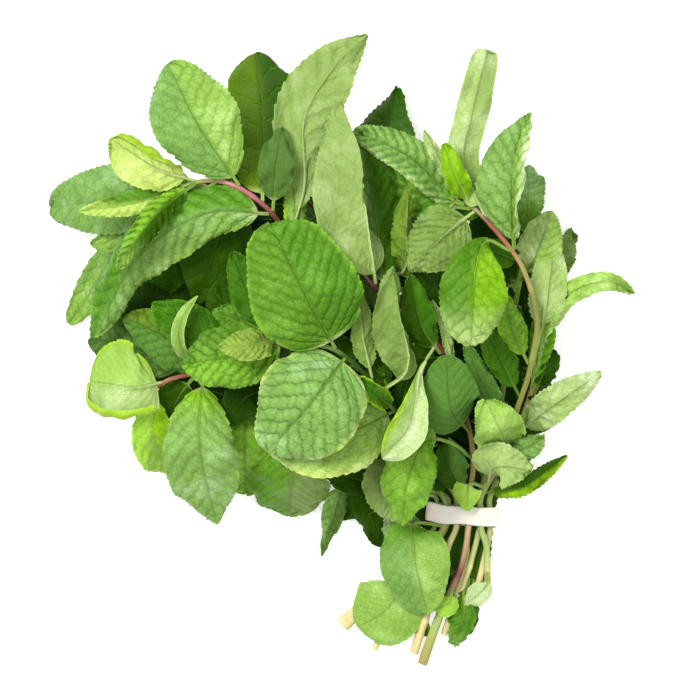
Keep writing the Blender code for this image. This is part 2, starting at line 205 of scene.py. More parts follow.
def bumped(tree, height, distance, strength, invert=False):
    return addNode(tree, "ShaderNodeBump", {"Height": height, "Distance": distance, "Strength": strength},
                   invert=invert).outputs[0]


def attribute(tree, name, output="Vector"):
    return addNode(tree, "ShaderNodeAttribute", attribute_name=name).outputs[output]


def newGroup(name, inputs, outputs):
    # an input without a value is a vector; the others, and all outputs, are numbers
    group = bpy.data.node_groups.new(name, "ShaderNodeTree")
    for socketName, value in inputs.items():
        kind = "NodeSocketVector" if value is None else "NodeSocketFloat"
        socket = group.interface.new_socket(socketName, in_out="INPUT", socket_type=kind)
        if value is not None:
            socket.default_value = value
    for socketName in outputs:
        group.interface.new_socket(socketName, in_out="OUTPUT", socket_type="NodeSocketFloat")
    return group, group.nodes.new("NodeGroupInput").outputs, group.nodes.new("NodeGroupOutput")


def veinNetGroup():
    # Veins holds (place among the side veins, place along them in net cells, distance from the midrib in mm),
    # Form holds (height of the cell, which also sets painted light and shade, how much lighter the veins are,
    # share of the blade's length).
    # The midrib narrows towards the tip; the fine net is a cracked pattern inside the cells.
    group, given, result = newGroup("veinNet", {"Veins": None, "Form": None, "Fineness": 3.0},
                                    ("Midrib", "Grooves", "Fine Net", "Height", "Vein Light"))
    veins = addNode(group, "ShaderNodeSeparateXYZ", {0: given["Veins"]}).outputs
    form = addNode(group, "ShaderNodeSeparateXYZ", {0: given["Form"]}).outputs
    width = calc(group, "MULTIPLY_ADD", form[2], -0.75, 1.05)
    fromMidrib = calc(group, "DIVIDE", calc(group, "ABSOLUTE", veins[2]), width)
    midrib = calc(group, "MULTIPLY", ramp(group, fromMidrib, 0.22, 0.6, 1.0, 0.0),
                  ramp(group, form[2], 0.15, 0.7, 1.0, 0.12))
    cells = addNode(group, "ShaderNodeTexVoronoi",
                    {"Vector": multiplied(group, given["Veins"], (1.5, 1.0, 0.0)), "Scale": given["Fineness"]},
                    feature="DISTANCE_TO_EDGE", voronoi_dimensions="2D")
    fine = ramp(group, cells.outputs["Distance"], 0.0, 0.2, 1.0, 0.0)
    height = calc(group, "MULTIPLY_ADD", fine, -0.25, form[0])
    height = calc(group, "MULTIPLY_ADD", midrib, -0.5, height)
    plug(group, result, {"Midrib": midrib, "Grooves": ramp(group, form[0], 0.15, 0.75, 1.0, 0.0),
                         "Fine Net": fine, "Height": height, "Vein Light": form[1]})
    return group


def mottleGroup():
    # two layers of noise: broad patches of colour, and a fine grain
    group, given, result = newGroup("mottle", {"Vector": None}, ("Patches", "Grain"))
    plug(group, result, {"Patches": noise(group, given["Vector"], 90.0, 3.0),
                         "Grain": noise(group, given["Vector"], 900.0, 2.0)})
    return group


veinNet = veinNetGroup()
mottle = mottleGroup()


def newMaterial(name):
    made = bpy.data.materials.new(name)
    made.use_nodes = True
    return made, made.node_tree, made.node_tree.nodes["Principled BSDF"]


def spotsOf(tree):
    # patches and grain, fixed to the piece
    place = addNode(tree, "ShaderNodeTexCoord").outputs["Object"]
    return addNode(tree, "ShaderNodeGroup", {"Vector": place}, node_tree=mottle).outputs


def leafMaterial(name, values):
    # leaf skin: its tint, with a painted sheen in patches, painted light on the cells and painted shade in their
    # grooves, changed along the veins, with patches and a fine grain
    made, tree, shader = newMaterial(name)
    net = addNode(tree, "ShaderNodeGroup", {"Veins": attribute(tree, "veins"), "Form": attribute(tree, "form"),
                                            "Fineness": values["fineness"]}, node_tree=veinNet).outputs
    spots = spotsOf(tree)
    tint = attribute(tree, "tint", "Color")
    # painted sheen: in some patches the tint turns towards a paler, bluer copy of itself, a painted reflection of
    # the lamps
    paintedSheen = calc(tree, "MULTIPLY", ramp(tree, spots["Patches"], 0.48, 0.72), values["paintedSheen"])
    tint = mixColour(tree, paintedSheen, tint, multiplied(tree, tint, (1.5, 1.3, 2.4)))
    light = varied(tree, 1.0, spots["Patches"], values["patches"])
    light = varied(tree, light, spots["Grain"], values["grain"])
    # painted light on the raised cells and painted shade in the hollows between them
    light = varied(tree, light, net["Height"], values["paintedCellLight"], 0.75)
    # darker towards the vein colour: in the grooves this is painted shade, along the fine net it is the veins'
    # own colour together with painted shade
    amount = calc(tree, "MAXIMUM", calc(tree, "MULTIPLY", net["Grooves"], values["grooveShade"]),
                  calc(tree, "MULTIPLY", net["Fine Net"], values["fineNet"]))
    veinedAndShaded = mixColour(tree, amount, scaled(tree, tint, light), (*linear(values["veinAndShadeColour"]), 1))
    veinedAndShaded = scaled(tree, veinedAndShaded, calc(tree, "MULTIPLY_ADD", net["Grooves"], net["Vein Light"], 1.0))
    ribbed = mixColour(tree, calc(tree, "MULTIPLY", net["Midrib"], values["midrib"]), veinedAndShaded,
                       (*linear(values["midribColour"]), 1))
    relief = calc(tree, "MULTIPLY_ADD", spots["Grain"], 0.3, net["Height"])
    plug(tree, shader, {"Base Color": ribbed,
                        "Roughness": varied(tree, values["roughness"], spots["Patches"], 0.16),
                        "Normal": bumped(tree, relief, values["bump"] * mm, 1.0, values["veinsStandOut"]),
                        "Specular IOR Level": values["shine"], "Specular Tint": (0.85, 1.0, 0.55, 1)})
    return made


# each finish lists what differs from the first
upperFinish = {"roughness": 0.4, "paintedSheen": 0.8, "shine": 0.2, "fineness": 2.2, "patches": 0.5, "grain": 0.24,
               "paintedCellLight": 0.45, "grooveShade": 0.35, "fineNet": 0.14, "veinAndShadeColour": (58, 104, 18), "midrib": 0.6,
               "midribColour": (140, 180, 60), "bump": 0.2, "veinsStandOut": False}
leafFinishes = {
    "upperLeaf": {},
    "darkLeaf": {"roughness": 0.5, "paintedSheen": 0.15, "shine": 0.08, "fineness": 1.9, "patches": 0.36, "grain": 0.2,
                 "paintedCellLight": 0.36, "grooveShade": 0.4, "fineNet": 0.1, "midribColour": (110, 150, 50)},
    "youngLeaf": {"roughness": 0.45, "paintedSheen": 0.4, "shine": 0.22, "fineness": 1.9, "patches": 0.26,
                  "grain": 0.16, "paintedCellLight": 0.3, "fineNet": 0.08, "veinAndShadeColour": (110, 156, 20),
                  "midribColour": (190, 214, 100)},
    "leafUnderside": {"roughness": 0.6, "paintedSheen": 0.5, "shine": 0.22, "fineness": 1.8, "patches": 0.36,
                      "grain": 0.2, "paintedCellLight": 0.12, "grooveShade": 0.4, "fineNet": 0.3, "midrib": 0.7,
                      "veinAndShadeColour": (128, 160, 66), "midribColour": (196, 216, 140), "bump": 0.25,
                      "veinsStandOut": True},
}
skins = {name: leafMaterial(name, {**upperFinish, **changes}) for name, changes in leafFinishes.items()}

# "spots" and "rough" say which noise changes the light and the roughness
streakFinishes = {
    "stemSkin": {"detail": 3.0, "streaks": 0.5, "spots": "Grain", "spotted": 0.2, "rough": "Streaks",
                 "roughness": 0.4, "bump": 0.3, "strength": 0.6},
    "creamRubber": {"detail": 4.0, "streaks": 0.12, "spots": "Patches", "spotted": 0.12, "rough": "Grain",
                    "roughness": 0.72, "bump": 0.2, "strength": 0.5},
}


def streakedMaterial(name, values):
    # stem skin and rubber: the tint with lengthwise streaks and spots, and a soft shine
    made, tree, shader = newMaterial(name)
    noises = dict(spotsOf(tree).items())
    noises["Streaks"] = noise(tree, attribute(tree, "grain"), 1.0, values["detail"])
    light = varied(tree, 1.0, noises["Streaks"], values["streaks"])
    light = varied(tree, light, noises[values["spots"]], values["spotted"])
    plug(tree, shader, {"Base Color": scaled(tree, attribute(tree, "tint", "Color"), light),
                        "Roughness": varied(tree, values["roughness"], noises[values["rough"]], 0.2),
                        "Normal": bumped(tree, noises["Streaks"], values["bump"] * mm, values["strength"])})
    return made


skins.update({name: streakedMaterial(name, values) for name, values in streakFinishes.items()})
print("materials made")

stemValues = {"radius": 1.25, "tipRadius": 0.85, "squareness": 0.08, "sides": 20, "ringStep": 1.1,
              "knotSwell": 0.18, "knotWidth": 1.6, "knotEvery": 27.0, "cutFlare": 0.25, "bandReach": 6.0,
              "smoothEnd": (8, 14), "tipRound": 0.6, "cutRound": 0.94, "knotLight": 0.25}
lowerLayer, upperLayer = 2.75, 5.85

# "slot" is the stem's place inside the band, "below" its route from the cut end, "above" its route to the tip and
# "tones" its colours from cut end to tip
stems = {
    1: {"below": [(-35, -39, 4.8), (-17, -19, 5.6)], "slot": (-7, upperLayer), "above": [(-22, 28, 18),
        (-46, 65, 36), (-60, 93, 50), (-67, 106, 55), (-74, 113, 57), (-82, 118, 57), (-90, 120, 55),
        (-99, 119, 52)], "finish": "stem_maroon",
        "tones": "cut paleStem tan greenStem deep maroon wine wine pink rust maroon pink greenStem"},
    2: {"below": [(-25, -46, 1.5), (-12, -22, 2.2)], "slot": (-2.1, lowerLayer), "above": [(-16, 21, 9),
        (-38, 35, 15), (-66, 44, 22), (-92, 50, 30), (-104, 49, 32), (-112, 45, 31)], "finish": "stem_maroon",
        "tones": "cut paleStem tan tan rust maroon rust maroon rust"},
    3: {"below": [(9.4, -26, 3.4), (9, -13, 5.2)], "slot": (7, upperLayer), "above": [(14, 20, 18),
        (19.8, 38, 34), (23.4, 49, 42), (25.6, 60, 48), (26.6, 69, 52), (25.2, 78, 55), (22, 87, 58),
        (18.7, 93, 59), (13.3, 100, 60), (6, 108, 59), (0.5, 112.5, 56)], "finish": "stem_olive",
        "tones": "cut " + 3 * "paleStem " + 8 * "oliveStem " + "tan rust maroon greenStem"},
    4: {"below": [(-17.5, -51, 1.5), (-12, -34, 4.6), (-6, -15, 5.7)], "slot": (-2.3, upperLayer),
        "above": [(-10, 20, 20), (-24, 37, 42), (-36, 51, 54), (-46, 59, 60), (-58, 62, 60), (-70, 64, 56)],
        "cutRadius": 1.8, "finish": "stem_pale", "tones": "cut straw paleStem greenStem dark dark paleStem"},
    5: {"below": [(-14.4, -55, 1.6), (-8.3, -38, 4.6), (-0.4, -20, 5.7)], "slot": (2.3, upperLayer),
        "above": [(4, 17, 15), (2, 32, 26), (-7, 57, 42), (-14, 67, 48), (-24, 76, 54), (-31, 81, 58),
        (-38, 89, 60)], "cutRadius": 2.0, "finish": "stem_maroon",
        "tones": "tan paleStem maroon straw tan tan maroon maroon maroon wine wine"},
    6: {"below": [(6, -26, 1.5), (9, -13, 2.2)], "slot": (10.2, lowerLayer), "above": [(15, 17, 10),
        (21, 32, 20), (26, 48, 30), (29, 64, 35), (30, 78, 37)], "finish": "stem_pale",
        "tones": "cut paleStem tan tan greenStem"},
    7: {"below": [(-32, -49.9, 1.9), (-18, -24, 2.2)], "slot": (-6.2, lowerLayer), "above": [(-25, 13, 8),
        (-45, 21, 13), (-64, 29, 17), (-79, 41, 19)], "finish": "stem_pale",
        "tones": "cut paleStem greenStem greenStem"},
    8: {"below": [(-43.5, -41, 3.3), (-24, -22, 2.4)], "slot": (-10.2, lowerLayer), "above": [(-25, 7, 6),
        (-36, 9, 9), (-48, 11, 11)], "cutRadius": 3.2, "finish": "stem_pale",
        "tones": "cut paleStem greenStem greenStem"},
    9: {"below": [(-6.6, -44.5, 1.5), (-2.6, -32, 1.8), (1, -18, 2.2)], "slot": (2.1, lowerLayer),
        "above": [(-4, 24, 10), (-14, 54, 20), (-30, 86, 30), (-46, 104, 37), (-57, 113, 40)],
        "finish": "stem_maroon", "tones": "cut paleStem tan maroon maroon"},
    10: {"below": [(-5, -43, 1.5), (2, -22, 2.2)], "slot": (6.3, lowerLayer), "above": [(12, 26, 8),
        (16, 54, 14), (20, 80, 24), (23, 98, 32)], "finish": "stem_pale",
        "tones": "cut paleStem greenStem greenStem"},
}


def stemAxis(number, count):
    # the smooth path through the stem's two routes and its straight stretch in the band
    stem = stems[number]
    x, z = stem["slot"]
    reach = stemValues["bandReach"]
    return smoothPath(stem["below"] + [(x, y, z) for y in (-reach, 0, reach)] + stem["above"], count)


def blendTones(names, place):
    # colours spread evenly from 0 to 1 and blended between
    stops = np.linspace(0, 1, len(names))
    colours = np.array([tone[name] for name in names])
    return readAt(place, stops, colours)


def stemPiece(number):
    # a tube: rings along the axis, each a circle flattened to a soft square, swollen at the leaf joints
    stem, values = stems[number], stemValues
    rough = stemAxis(number, 400)
    length = np.linalg.norm(np.diff(rough, axis=0), axis=1).sum()
    rings = int(length / values["ringStep"])
    path = stemAxis(number, rings)
    t = np.linspace(0, 1, rings)
    tangent = unit(np.gradient(path, axis=0))
    side = unit(np.cross(tangent, (0, 0, 1)))
    up = np.cross(side, tangent)
    cutRadius = stem.get("cutRadius", values["radius"])
    radius = values["radius"] + (values["tipRadius"] - values["radius"]) * t
    radius = radius + (cutRadius - values["radius"]) * np.clip(1 - t / values["cutFlare"], 0, 1)
    fromKnot = np.abs((t * length + 7 * number) % values["knotEvery"] - values["knotEvery"] / 2)
    # no joints at the band or close to the cut end
    knot = np.exp(-(fromKnot / values["knotWidth"]) ** 2) * (np.abs(path[:, 1]) > values["bandReach"] + 2)
    knot = knot * smoothStep(t * length, *values["smoothEnd"])
    radius = radius * (1 + values["knotSwell"] * knot)
    radius[-1] *= values["tipRound"]
    radius[0] *= values["cutRound"]
    angle = np.arange(values["sides"]) * 2 * math.pi / values["sides"]
    outline = 1 - values["squareness"] * np.cos(4 * angle)
    ring = (side[:, None, :] * (np.cos(angle) * outline)[None, :, None]
            + up[:, None, :] * (np.sin(angle) * outline)[None, :, None])
    points = path[:, None, :] + ring * radius[:, None, None]
    # the cut face: a rim, then a shallow hollow
    cutIn = np.stack([path[0] + ring[0] * radius[0] * share + tangent[0] * depth
                      for share, depth in ((0.45, 0.5), (0.72, 0.12), (0.9, -0.05))])
    points = np.concatenate([cutIn, points])
    rows, columns = points.shape[:2]
    colours = blendTones(stem["tones"].split(), np.concatenate([[0, 0, 0], t]))
    colours = colours * (1 + values["knotLight"] * np.concatenate([[0, 0, 0], knot]))[:, None]
    colours[:3] = [tone["cutRim"] * 0.8, tone["cut"], tone["cut"]]
    tint = np.repeat(colours[:, None, :], columns, axis=1)
    flat = points.reshape(-1, 3)
    flat[:, 2] = np.maximum(flat[:, 2], 0.05)
    half = np.arange(columns // 2 - 1)
    cap = np.stack([half, half + 1, columns - 2 - half, columns - 1 - half], axis=-1)
    quads = np.vstack([gridQuads(rows, columns, closed=True, flip=True), cap,
                       cap[:, ::-1] + (rows - 1) * columns])
    grain = np.stack(np.broadcast_arrays(np.cos(angle)[None, :] * 1.5, np.sin(angle)[None, :] * 1.5,
                                         (np.arange(rows) * 0.12 + 20 * number)[:, None]), axis=-1)
    makePiece(f"mint_stem_{number}", flat, quads, [skins["stemSkin"]], np.zeros(len(quads)), stem["finish"],
              f"stem_{number}", tint=np.column_stack([tint.reshape(-1, 3), np.ones(len(flat))]),
              grain=grain.reshape(-1, 3))
    return flat, quads


stemShapes = {number: stemPiece(number) for number in stems}
print("stems made")

# "corner", "rimEdge" and "flatEdge" are powers: the smaller they are, the squarer the loop and its section
bandValues = {"width": 6.7, "thickness": 0.95, "span": 26.8, "height": 8.6, "turn": -6, "down": 0.9,
              "around": 220, "across": 28, "ripple": 0.35, "corner": 0.42, "rimEdge": 0.3, "flatEdge": 0.7}


def squared(angle, power, size):
    # cosine and sine with the power of their size, which turns a circle towards a rectangle
    turned = np.stack([np.cos(angle), np.sin(angle)])
    return np.sign(turned) * np.abs(turned) ** np.reshape(power, (-1, 1)) * np.reshape(size, (-1, 1)) / 2


def bandPiece():
    # a flat loop: round the stems a rounded rectangle, across it a thin section with soft edges, gently rippled
    values = bandValues
    around = np.linspace(0, 2 * math.pi, values["around"], endpoint=False)
    ringX, ringZ = squared(around, values["corner"], (values["span"], values["height"]))
    line = np.column_stack([ringX, np.zeros_like(ringX), ringZ])
    closed = np.vstack([line, line[:1]])
    along = distances(closed)
    wanted = np.linspace(0, along[-1], values["around"], endpoint=False)
    line = readAt(wanted, along, closed)
    tangent = unit(np.roll(line, -1, axis=0) - np.roll(line, 1, axis=0))
    outward = unit(np.cross(tangent, (0, 1, 0)))
    outward *= np.sign((outward * line).sum(axis=1, keepdims=True))
    phase = wanted / along[-1] * 2 * math.pi
    section = np.linspace(0, 2 * math.pi, values["across"], endpoint=False)
    sectionY, sectionR = squared(section, (values["rimEdge"], values["flatEdge"]),
                                 (values["width"], values["thickness"]))
    ripple = values["ripple"] * (np.sin(9 * phase) * 0.4 + np.sin(4 * phase + 1) * 0.3)
    shiftY = 0.35 * np.sin(2 * phase + 0.6) + 0.2 * np.sin(5 * phase)
    points = (line[:, None, :] - outward[:, None, :] * (values["thickness"] / 2 + 0.25)
              + outward[:, None, :] * (sectionR[None, :] + ripple[:, None] * 0.5)[..., None]
              + np.array([0, 1, 0]) * (sectionY[None, :] * (1 + 0.03 * np.sin(3 * phase))[:, None]
                                       + shiftY[:, None])[..., None])
    turn = math.radians(values["turn"])
    x = points[..., 0] * math.cos(turn) - points[..., 1] * math.sin(turn)
    y = points[..., 0] * math.sin(turn) + points[..., 1] * math.cos(turn)
    z = points[..., 2] + values["height"] / 2 + 0.1
    flat = np.stack([x, y - values["down"], z], axis=-1).reshape(-1, 3)
    flat[:, 2] = np.maximum(flat[:, 2], 0.02)
    # one row more than there is, which is the first again
    quads = gridQuads(values["around"] + 1, values["across"], closed=True) % len(flat)
    shade = 1 - 0.10 * (np.abs(sectionY) > values["width"] * 0.42)[None, :] + 0 * phase[:, None]
    pink = smoothStep(-flat[:, 0], 6, 14)[:, None] * np.array([0.0, 0.10, 0.10])
    tint = tone["cream"] * shade.reshape(-1, 1) * (1 - pink)
    grain = np.stack(np.broadcast_arrays(phase[:, None] * 1.2, sectionY[None, :] * 1.4, 0.0), axis=-1)
    makePiece("produce_band", flat, quads, [skins["creamRubber"]], np.zeros(len(quads)), "band_rubber",
              "rubber_band", tint=np.column_stack([tint, np.ones(len(flat))]),
              grain=grain.reshape(-1, 3))


bandPiece()
print("band made")

leafValues = {"thickness": 0.34, "petioleWidth": 0.62, "petioleRise": 0.55, "ribWidth": 0.7, "ribRise": 0.6,
              "rowStep": 0.55, "columnStep": 0.66, "petioleStep": 1.2, "hiddenDetail": 1.25, "thickest": 1.6,
              "toothStep": 0.42, "toothLean": 0.7, "veinLean": 0.85, "veinBend": 0.28, "fanned": 2.4,
              "netCell": 3.6, "netEdge": 0.7, "netDepth": 0.55, "veinEdge": 0.5,
              "lumps": ((1.3, 0.6, 1.7), (2.1, -0.9, 2.9), (3.4, 1.2, 0.7), (4.6, -0.4, 1.1))}

# A path runs from foot to tip. roll turns the blade about its midrib (180 shows the underside), fold lifts both
# halves, droop lowers their rims, curl turns each rim over from curlFrom outwards and twist turns the tip, all in
# degrees. skin, right, rim, tip, foot, under and stalk name tones.
leafDefaults = {"roll": 0.0, "fold": 10.0, "droop": 20.0, "curl": (0, 0), "curlFrom": (0.7, 0.7), "twist": 0.0,
                "petiole": 4.0, "blunt": 0.6, "fullest": 0.85, "opens": 0.25, "wave": 1.2, "relief": 0.42,
                "net": 1.0, "ribs": 0.5, "pleat": 0.05, "veins": 8, "teeth": 0.7, "midrib": 1.0,
                "veinLight": 0.0, "right": None, "rim": None, "rimWidth": 0.25, "rimSide": 0, "tip": None,
                "foot": None, "under": "under", "underRight": None, "stalk": "paleStem"}


def leaf(path, width, skin="mid", **changes):
    # all that describes one leaf
    return {**leafDefaults, "path": path, "width": width, "skin": skin, **changes}


def flatLeaf(path, width, skin, **changes):
    # a leaf pressed flat under the others
    return leaf(path, width, skin, fold=0, droop=0, **changes)


# every leaf that the CAD has, by stem and number on it
leaves = {
    (1, 1): leaf([(-81, 117, 58), (-95, 140, 64), (-106, 162, 54)], 31, "bluish", fold=5, blunt=0.5,
        fullest=1.1, right="soft", relief=0.5, teeth=0.9, veinLight=0.2),
    (1, 2): leaf([(-73, 112, 53), (-72, 140, 32), (-75, 167, 0)], 29, "mossy", blunt=0.5, right="dark",
        relief=0.5, veins=6, veinLight=1.3, net=0.1, ribs=0.95, midrib=0.7),
    (1, 3): leaf([(-69, 109, 56), (-67, 126, 62), (-65, 139, 58)], 13, "slate", relief=0.15, teeth=0.2,
        pleat=0),
    (1, 4): leaf([(-97, 118.5, 54), (-112, 125, 61), (-127, 135, 57)], 19, "young", roll=175, blunt=0.55,
        fullest=1.1, under="paleYoung", curl=(-160, 0), curlFrom=(0.28, 0.7)),
    (1, 5): leaf([(-93, 119, 50), (-108, 115, 43), (-125, 113.5, 39), (-149, 111, 14)], 26, "bluish", fold=8,
        blunt=0.42),
    (1, 6): leaf([(-99, 119, 54), (-118, 112, 58), (-138, 109, 52)], 9, "yellow", fold=20, petiole=2,
        right="rich", tip="yellow", veins=11, pleat=0.4, midrib=0.3),
    (1, 7): leaf([(-96, 119, 52), (-108, 110, 59), (-117, 99, 60), (-124.5, 88, 55)], 10, "dark", fold=24,
        right="fresh", tip="soft", veins=12, pleat=0.55),
    (1, 8): leaf([(-88, 120, 50), (-124, 94, 14), (-142.5, 69, 0)], 16, "pale", fold=12, blunt=0.4,
        tip="soft"),
    # its right half in the tone rich is a painted shadow of the leaves above it
    (1, 9): leaf([(-70, 108, 57), (-93, 108, 57), (-117, 93, 51), (-133, 64, 36)], 27, "smooth", roll=15,
        fold=-14, right="rich", rim="soft", rimSide=-1, curl=(0, -60), curlFrom=(0.7, 0.1), veins=13,
        teeth=0.9, rimWidth=0.4, midrib=0.35, relief=0.4, pleat=0.2),
    (1, 10): leaf([(-63, 99, 53), (-57, 119, 54.5), (-57, 142, 57), (-47, 160, 58.5), (-34.5, 172.5, 54)], 24,
        roll=182, petiole=10, blunt=0.85, fullest=1.1, veins=9, pleat=0.25),
    (1, 11): leaf([(-10, -4, 6), (-16.3, -3.6, 10), (-18.3, -6, 12.5), (-17.8, -11, 14), (-16.6, -21, 15),
        (-12.8, -36.8, 10)], 25.5, "soft", fold=4, petiole=12, blunt=0.45, fullest=0.75, right="bluish",
        foot="leafy", relief=0.25, teeth=0.4, veins=7, wave=0.6, ribs=0.4),
    (1, 12): leaf([(-16.5, -26.5, 6), (-27, -34.5, 7), (-37.5, -41.5, 6)], 27.5, "soft", fold=4, blunt=0.45,
        relief=0.2, teeth=0.4, veins=7, wave=0.5, ribs=0.4),
    (2, 1): leaf([(-106, 43, 32), (-119, 45.5, 38), (-134.5, 47.5, 33)], 34, "young", roll=180, petiole=2,
        blunt=0.27, fullest=1.3, under="apple", underRight="palest", rim="young", rimSide=-1, rimWidth=0.16,
        curl=(10, -170), curlFrom=(0.7, 0.52), relief=0.2),
    (2, 2): leaf([(-113, 44, 31), (-112, 28, 26), (-105, 14, 0)], 17, "lime", fold=15, right="glow",
        veinLight=0.7, pleat=0.2),
    (2, 3): leaf([(-93, 49, 33), (-95, 23, 38), (-89, -4, 18)], 27, "smooth", fold=3, blunt=0.62,
        fullest=0.92, foot="vivid", relief=0.35, veins=9, pleat=0.14),
    (2, 4): leaf([(-100, 52, 30), (-118, 60, 26), (-135, 63, 14)], 20, "slate", fold=8, relief=0.7),
    (3, 1): leaf([(7, 107.5, 60), (0, 127, 62), (2.8, 143, 63), (8.6, 167, 57)], 12, roll=186, fold=14,
        blunt=0.13, fullest=1.2, underRight="palest", relief=0.3, teeth=0.2),
    (3, 2): leaf([(1, 110, 58), (-2.5, 121, 69), (-7, 133, 70)], 8.5, "vivid", fold=14, blunt=0.45,
        relief=0.2),
    (3, 3): leaf([(4, 110, 56), (-16, 113, 46), (-27, 121, 36), (-27.5, 136, 22), (-23.5, 154, 4)], 33,
        "dark", fold=6, petiole=24, blunt=0.95, fullest=0.62, right="deep"),
    (3, 4): leaf([(0.5, 112, 55), (-5, 115, 53), (-19, 128.5, 56), (-39, 138, 51)], 14.5, "bluish", fold=20,
        blunt=0.42, right="smooth", rim="palest", rimSide=-1, rimWidth=0.3, veins=11, pleat=0.25, relief=0.6),
    (3, 5): leaf([(18, 95, 59), (17.5, 115, 67.5), (19, 130, 66.5), (24.5, 144, 58)], 26, "smooth", roll=42,
        fold=42, opens=0.03, blunt=0.8, fullest=0.78, right="soft", rim="white", rimSide=1, relief=0.5,
        veins=9, pleat=0.15),
    # its tip in the tone palest is a painted highlight on the cells there
    (3, 6): leaf([(17, 95, 60), (8, 98, 67), (4, 86, 73), (2.5, 61, 68)], 25, "vivid", fold=7, petiole=10,
        fullest=1.35, right="rich", foot="deep", tip="palest", relief=0.65, midrib=0.5),
    (3, 7): leaf([(4, 109, 59), (-6, 101, 61), (-19.5, 87.5, 56)], 23, roll=178, blunt=0.75, fullest=0.7,
        under="shadedUnder", tip="under", relief=1.0, teeth=1.2, pleat=0.1),
    (3, 8): leaf([(15, 23, 22), (13, 30, 44), (8, 41, 47)], 19, roll=178, petiole=8, blunt=0.4, relief=0.2,
        under="apple"),
    (3, 9): leaf([(10, 9, 12), (12, 17, 38), (25, 16, 38)], 18, roll=180, petiole=14, under="palest"),
    (3, 10): leaf([(9.3, -22, 5), (8.5, -27, 8), (1, -33.5, 5)], 8.5, "white", fold=12, relief=0.2, teeth=0.2,
        wave=0.4, blunt=0.8, pleat=0),
    (3, 11): leaf([(7, 9, 10), (4.2, 10.6, 13), (2.3, 9.8, 14.2), (1.9, 7.5, 14.2), (1.9, 0.8, 13.5)], 10.5,
        "glow", fold=4, petiole=8, blunt=0.5, fullest=0.42, teeth=0.2, wave=0.3, relief=0.2),
    # its right half in the tone rich is painted shade on the half turned from the light
    (4, 1): leaf([(-46, 60, 61), (-56, 78, 75), (-69, 104, 70)], 41, fold=3, blunt=0.42, right="rich",
        relief=0.75, rim="fresh", rimWidth=0.1, veins=9, veinLight=0.25, ribs=0.75, net=0.7),
    (4, 2): leaf([(-42, 57, 59), (-54, 41, 71), (-70, 23, 60)], 39, "pale", fold=2, petiole=2, blunt=0.4,
        rim="yellow", rimWidth=0.1, relief=0.75, veins=7, teeth=0.5, ribs=0.6, net=0.8),
    (4, 3): leaf([(-24, 37, 43), (-46, 28, 57), (-72, 25, 48)], 29, "soft", fold=5, petiole=3, blunt=0.5,
        rim="paleYoung", rimSide=-1),
    (4, 4): leaf([(-62, 62, 59), (-82, 57, 56), (-101, 54, 48)], 24, "fresh", fold=6, right="mid", relief=0.8,
        pleat=0.08, ribs=0.6),
    (4, 5): leaf([(-66, 64, 58), (-76, 61, 69), (-87.5, 60, 65)], 12, "pleated", fold=16, veins=9, pleat=0.5),
    (4, 6): leaf([(-30, 44, 48), (-20, 53, 55.5), (-23, 72, 64), (-25, 89, 66)], 22, roll=130, fold=50,
        petiole=8, under="shadedUnder"),
    (5, 1): leaf([(-31, 83, 59), (-35, 107, 67), (-37, 128, 66), (-44, 148, 60)], 38, roll=130, fold=50),
    (5, 2): leaf([(-10, 61, 44), (-15.5, 51, 51), (-17.5, 38, 56), (-20.5, 29, 57), (-29, 20, 56)], 14,
        roll=170, petiole=7, blunt=0.75, fullest=1.9, underRight="white", rim="lime", rimSide=-1,
        rimWidth=0.35, teeth=0.1, relief=0.2),
    (5, 3): leaf([(4, 20, 18), (-4, 25.5, 38), (-14, 26, 42), (-20, 12, 40), (-22, -4, 26)], 19, "fresh",
        fold=4, petiole=29, blunt=0.5, foot="leafy", relief=0.4, veins=7),
    (5, 4): leaf([(2, 30, 25), (-4, 38, 45.5), (-6, 57, 50)], 23, "satin", fold=-4, petiole=9, blunt=0.5,
        relief=0.25, teeth=0.15, wave=0.5),
    (6, 1): leaf([(26, 46, 30), (28.5, 63.4, 42), (32.8, 72.7, 48), (38.5, 79, 50), (46, 82.5, 50),
        (54, 83.2, 48), (61.5, 79.5, 40)], 9, "apple", roll=15, fold=30, fullest=1.4, rim="palest",
        rimSide=1),
    (6, 2): leaf([(20, 30, 21), (33, 39.6, 42), (50, 51.2, 36)], 13.4, roll=184, fold=12, under="palest",
        tip="white", pleat=0.15),
    (6, 3): leaf([(27, 64, 35), (29, 70, 48), (30.5, 80, 51), (32.5, 97, 48)], 14, roll=180, petiole=12,
        blunt=0.5, under="palest"),
    (6, 4): leaf([(30, 76, 37), (34.5, 89, 32), (40, 102.5, 0)], 10, "olive"),
    (7, 1): leaf([(-77, 39, 20), (-79, 25, 20), (-78.5, 7, 3)], 19, "fresh", fold=8, petiole=2, blunt=0.5,
        relief=0.4),
    (7, 2): leaf([(-58, 26, 16), (-62, 12, 18), (-63, -1, 0)], 30, "shadedUnder", fold=3, blunt=0.5,
        right="mid", relief=0.3),
    (8, 1): leaf([(-38, 10, 10), (-34, 0, 8), (-29.5, -12.5, 0)], 10.5, "dark", petiole=1, fullest=0.6),
    (8, 2): leaf([(-44, 10, 11), (-47, -1, 9), (-50.8, -15.5, 0)], 8.5, "grey", fold=14, petiole=1, blunt=0.8,
        fullest=0.5, right="bluish"),
    (9, 1): leaf([(-29, 86, 31), (-21, 88, 50), (-20.5, 103, 59), (-19.5, 118, 58)], 13, roll=160, fold=55,
        petiole=16, under="olive"),
    (10, 1): leaf([(22, 97, 32), (24, 112, 30), (24, 126, 0)], 12, fold=8, blunt=0.5),
    (10, 2): leaf([(21, 84, 28), (25, 90, 46), (28, 97, 50), (32, 109, 50)], 16, "palest", fold=0, petiole=14,
        blunt=0.5, right="apple", relief=0.4),
    (10, 3): leaf([(11, 6, 5), (20, 8.7, 19), (29, 14, 20), (37.8, 20.6, 15)], 6.8, "deep", fold=14,
        petiole=6, right="lime", foot="deep"),
}
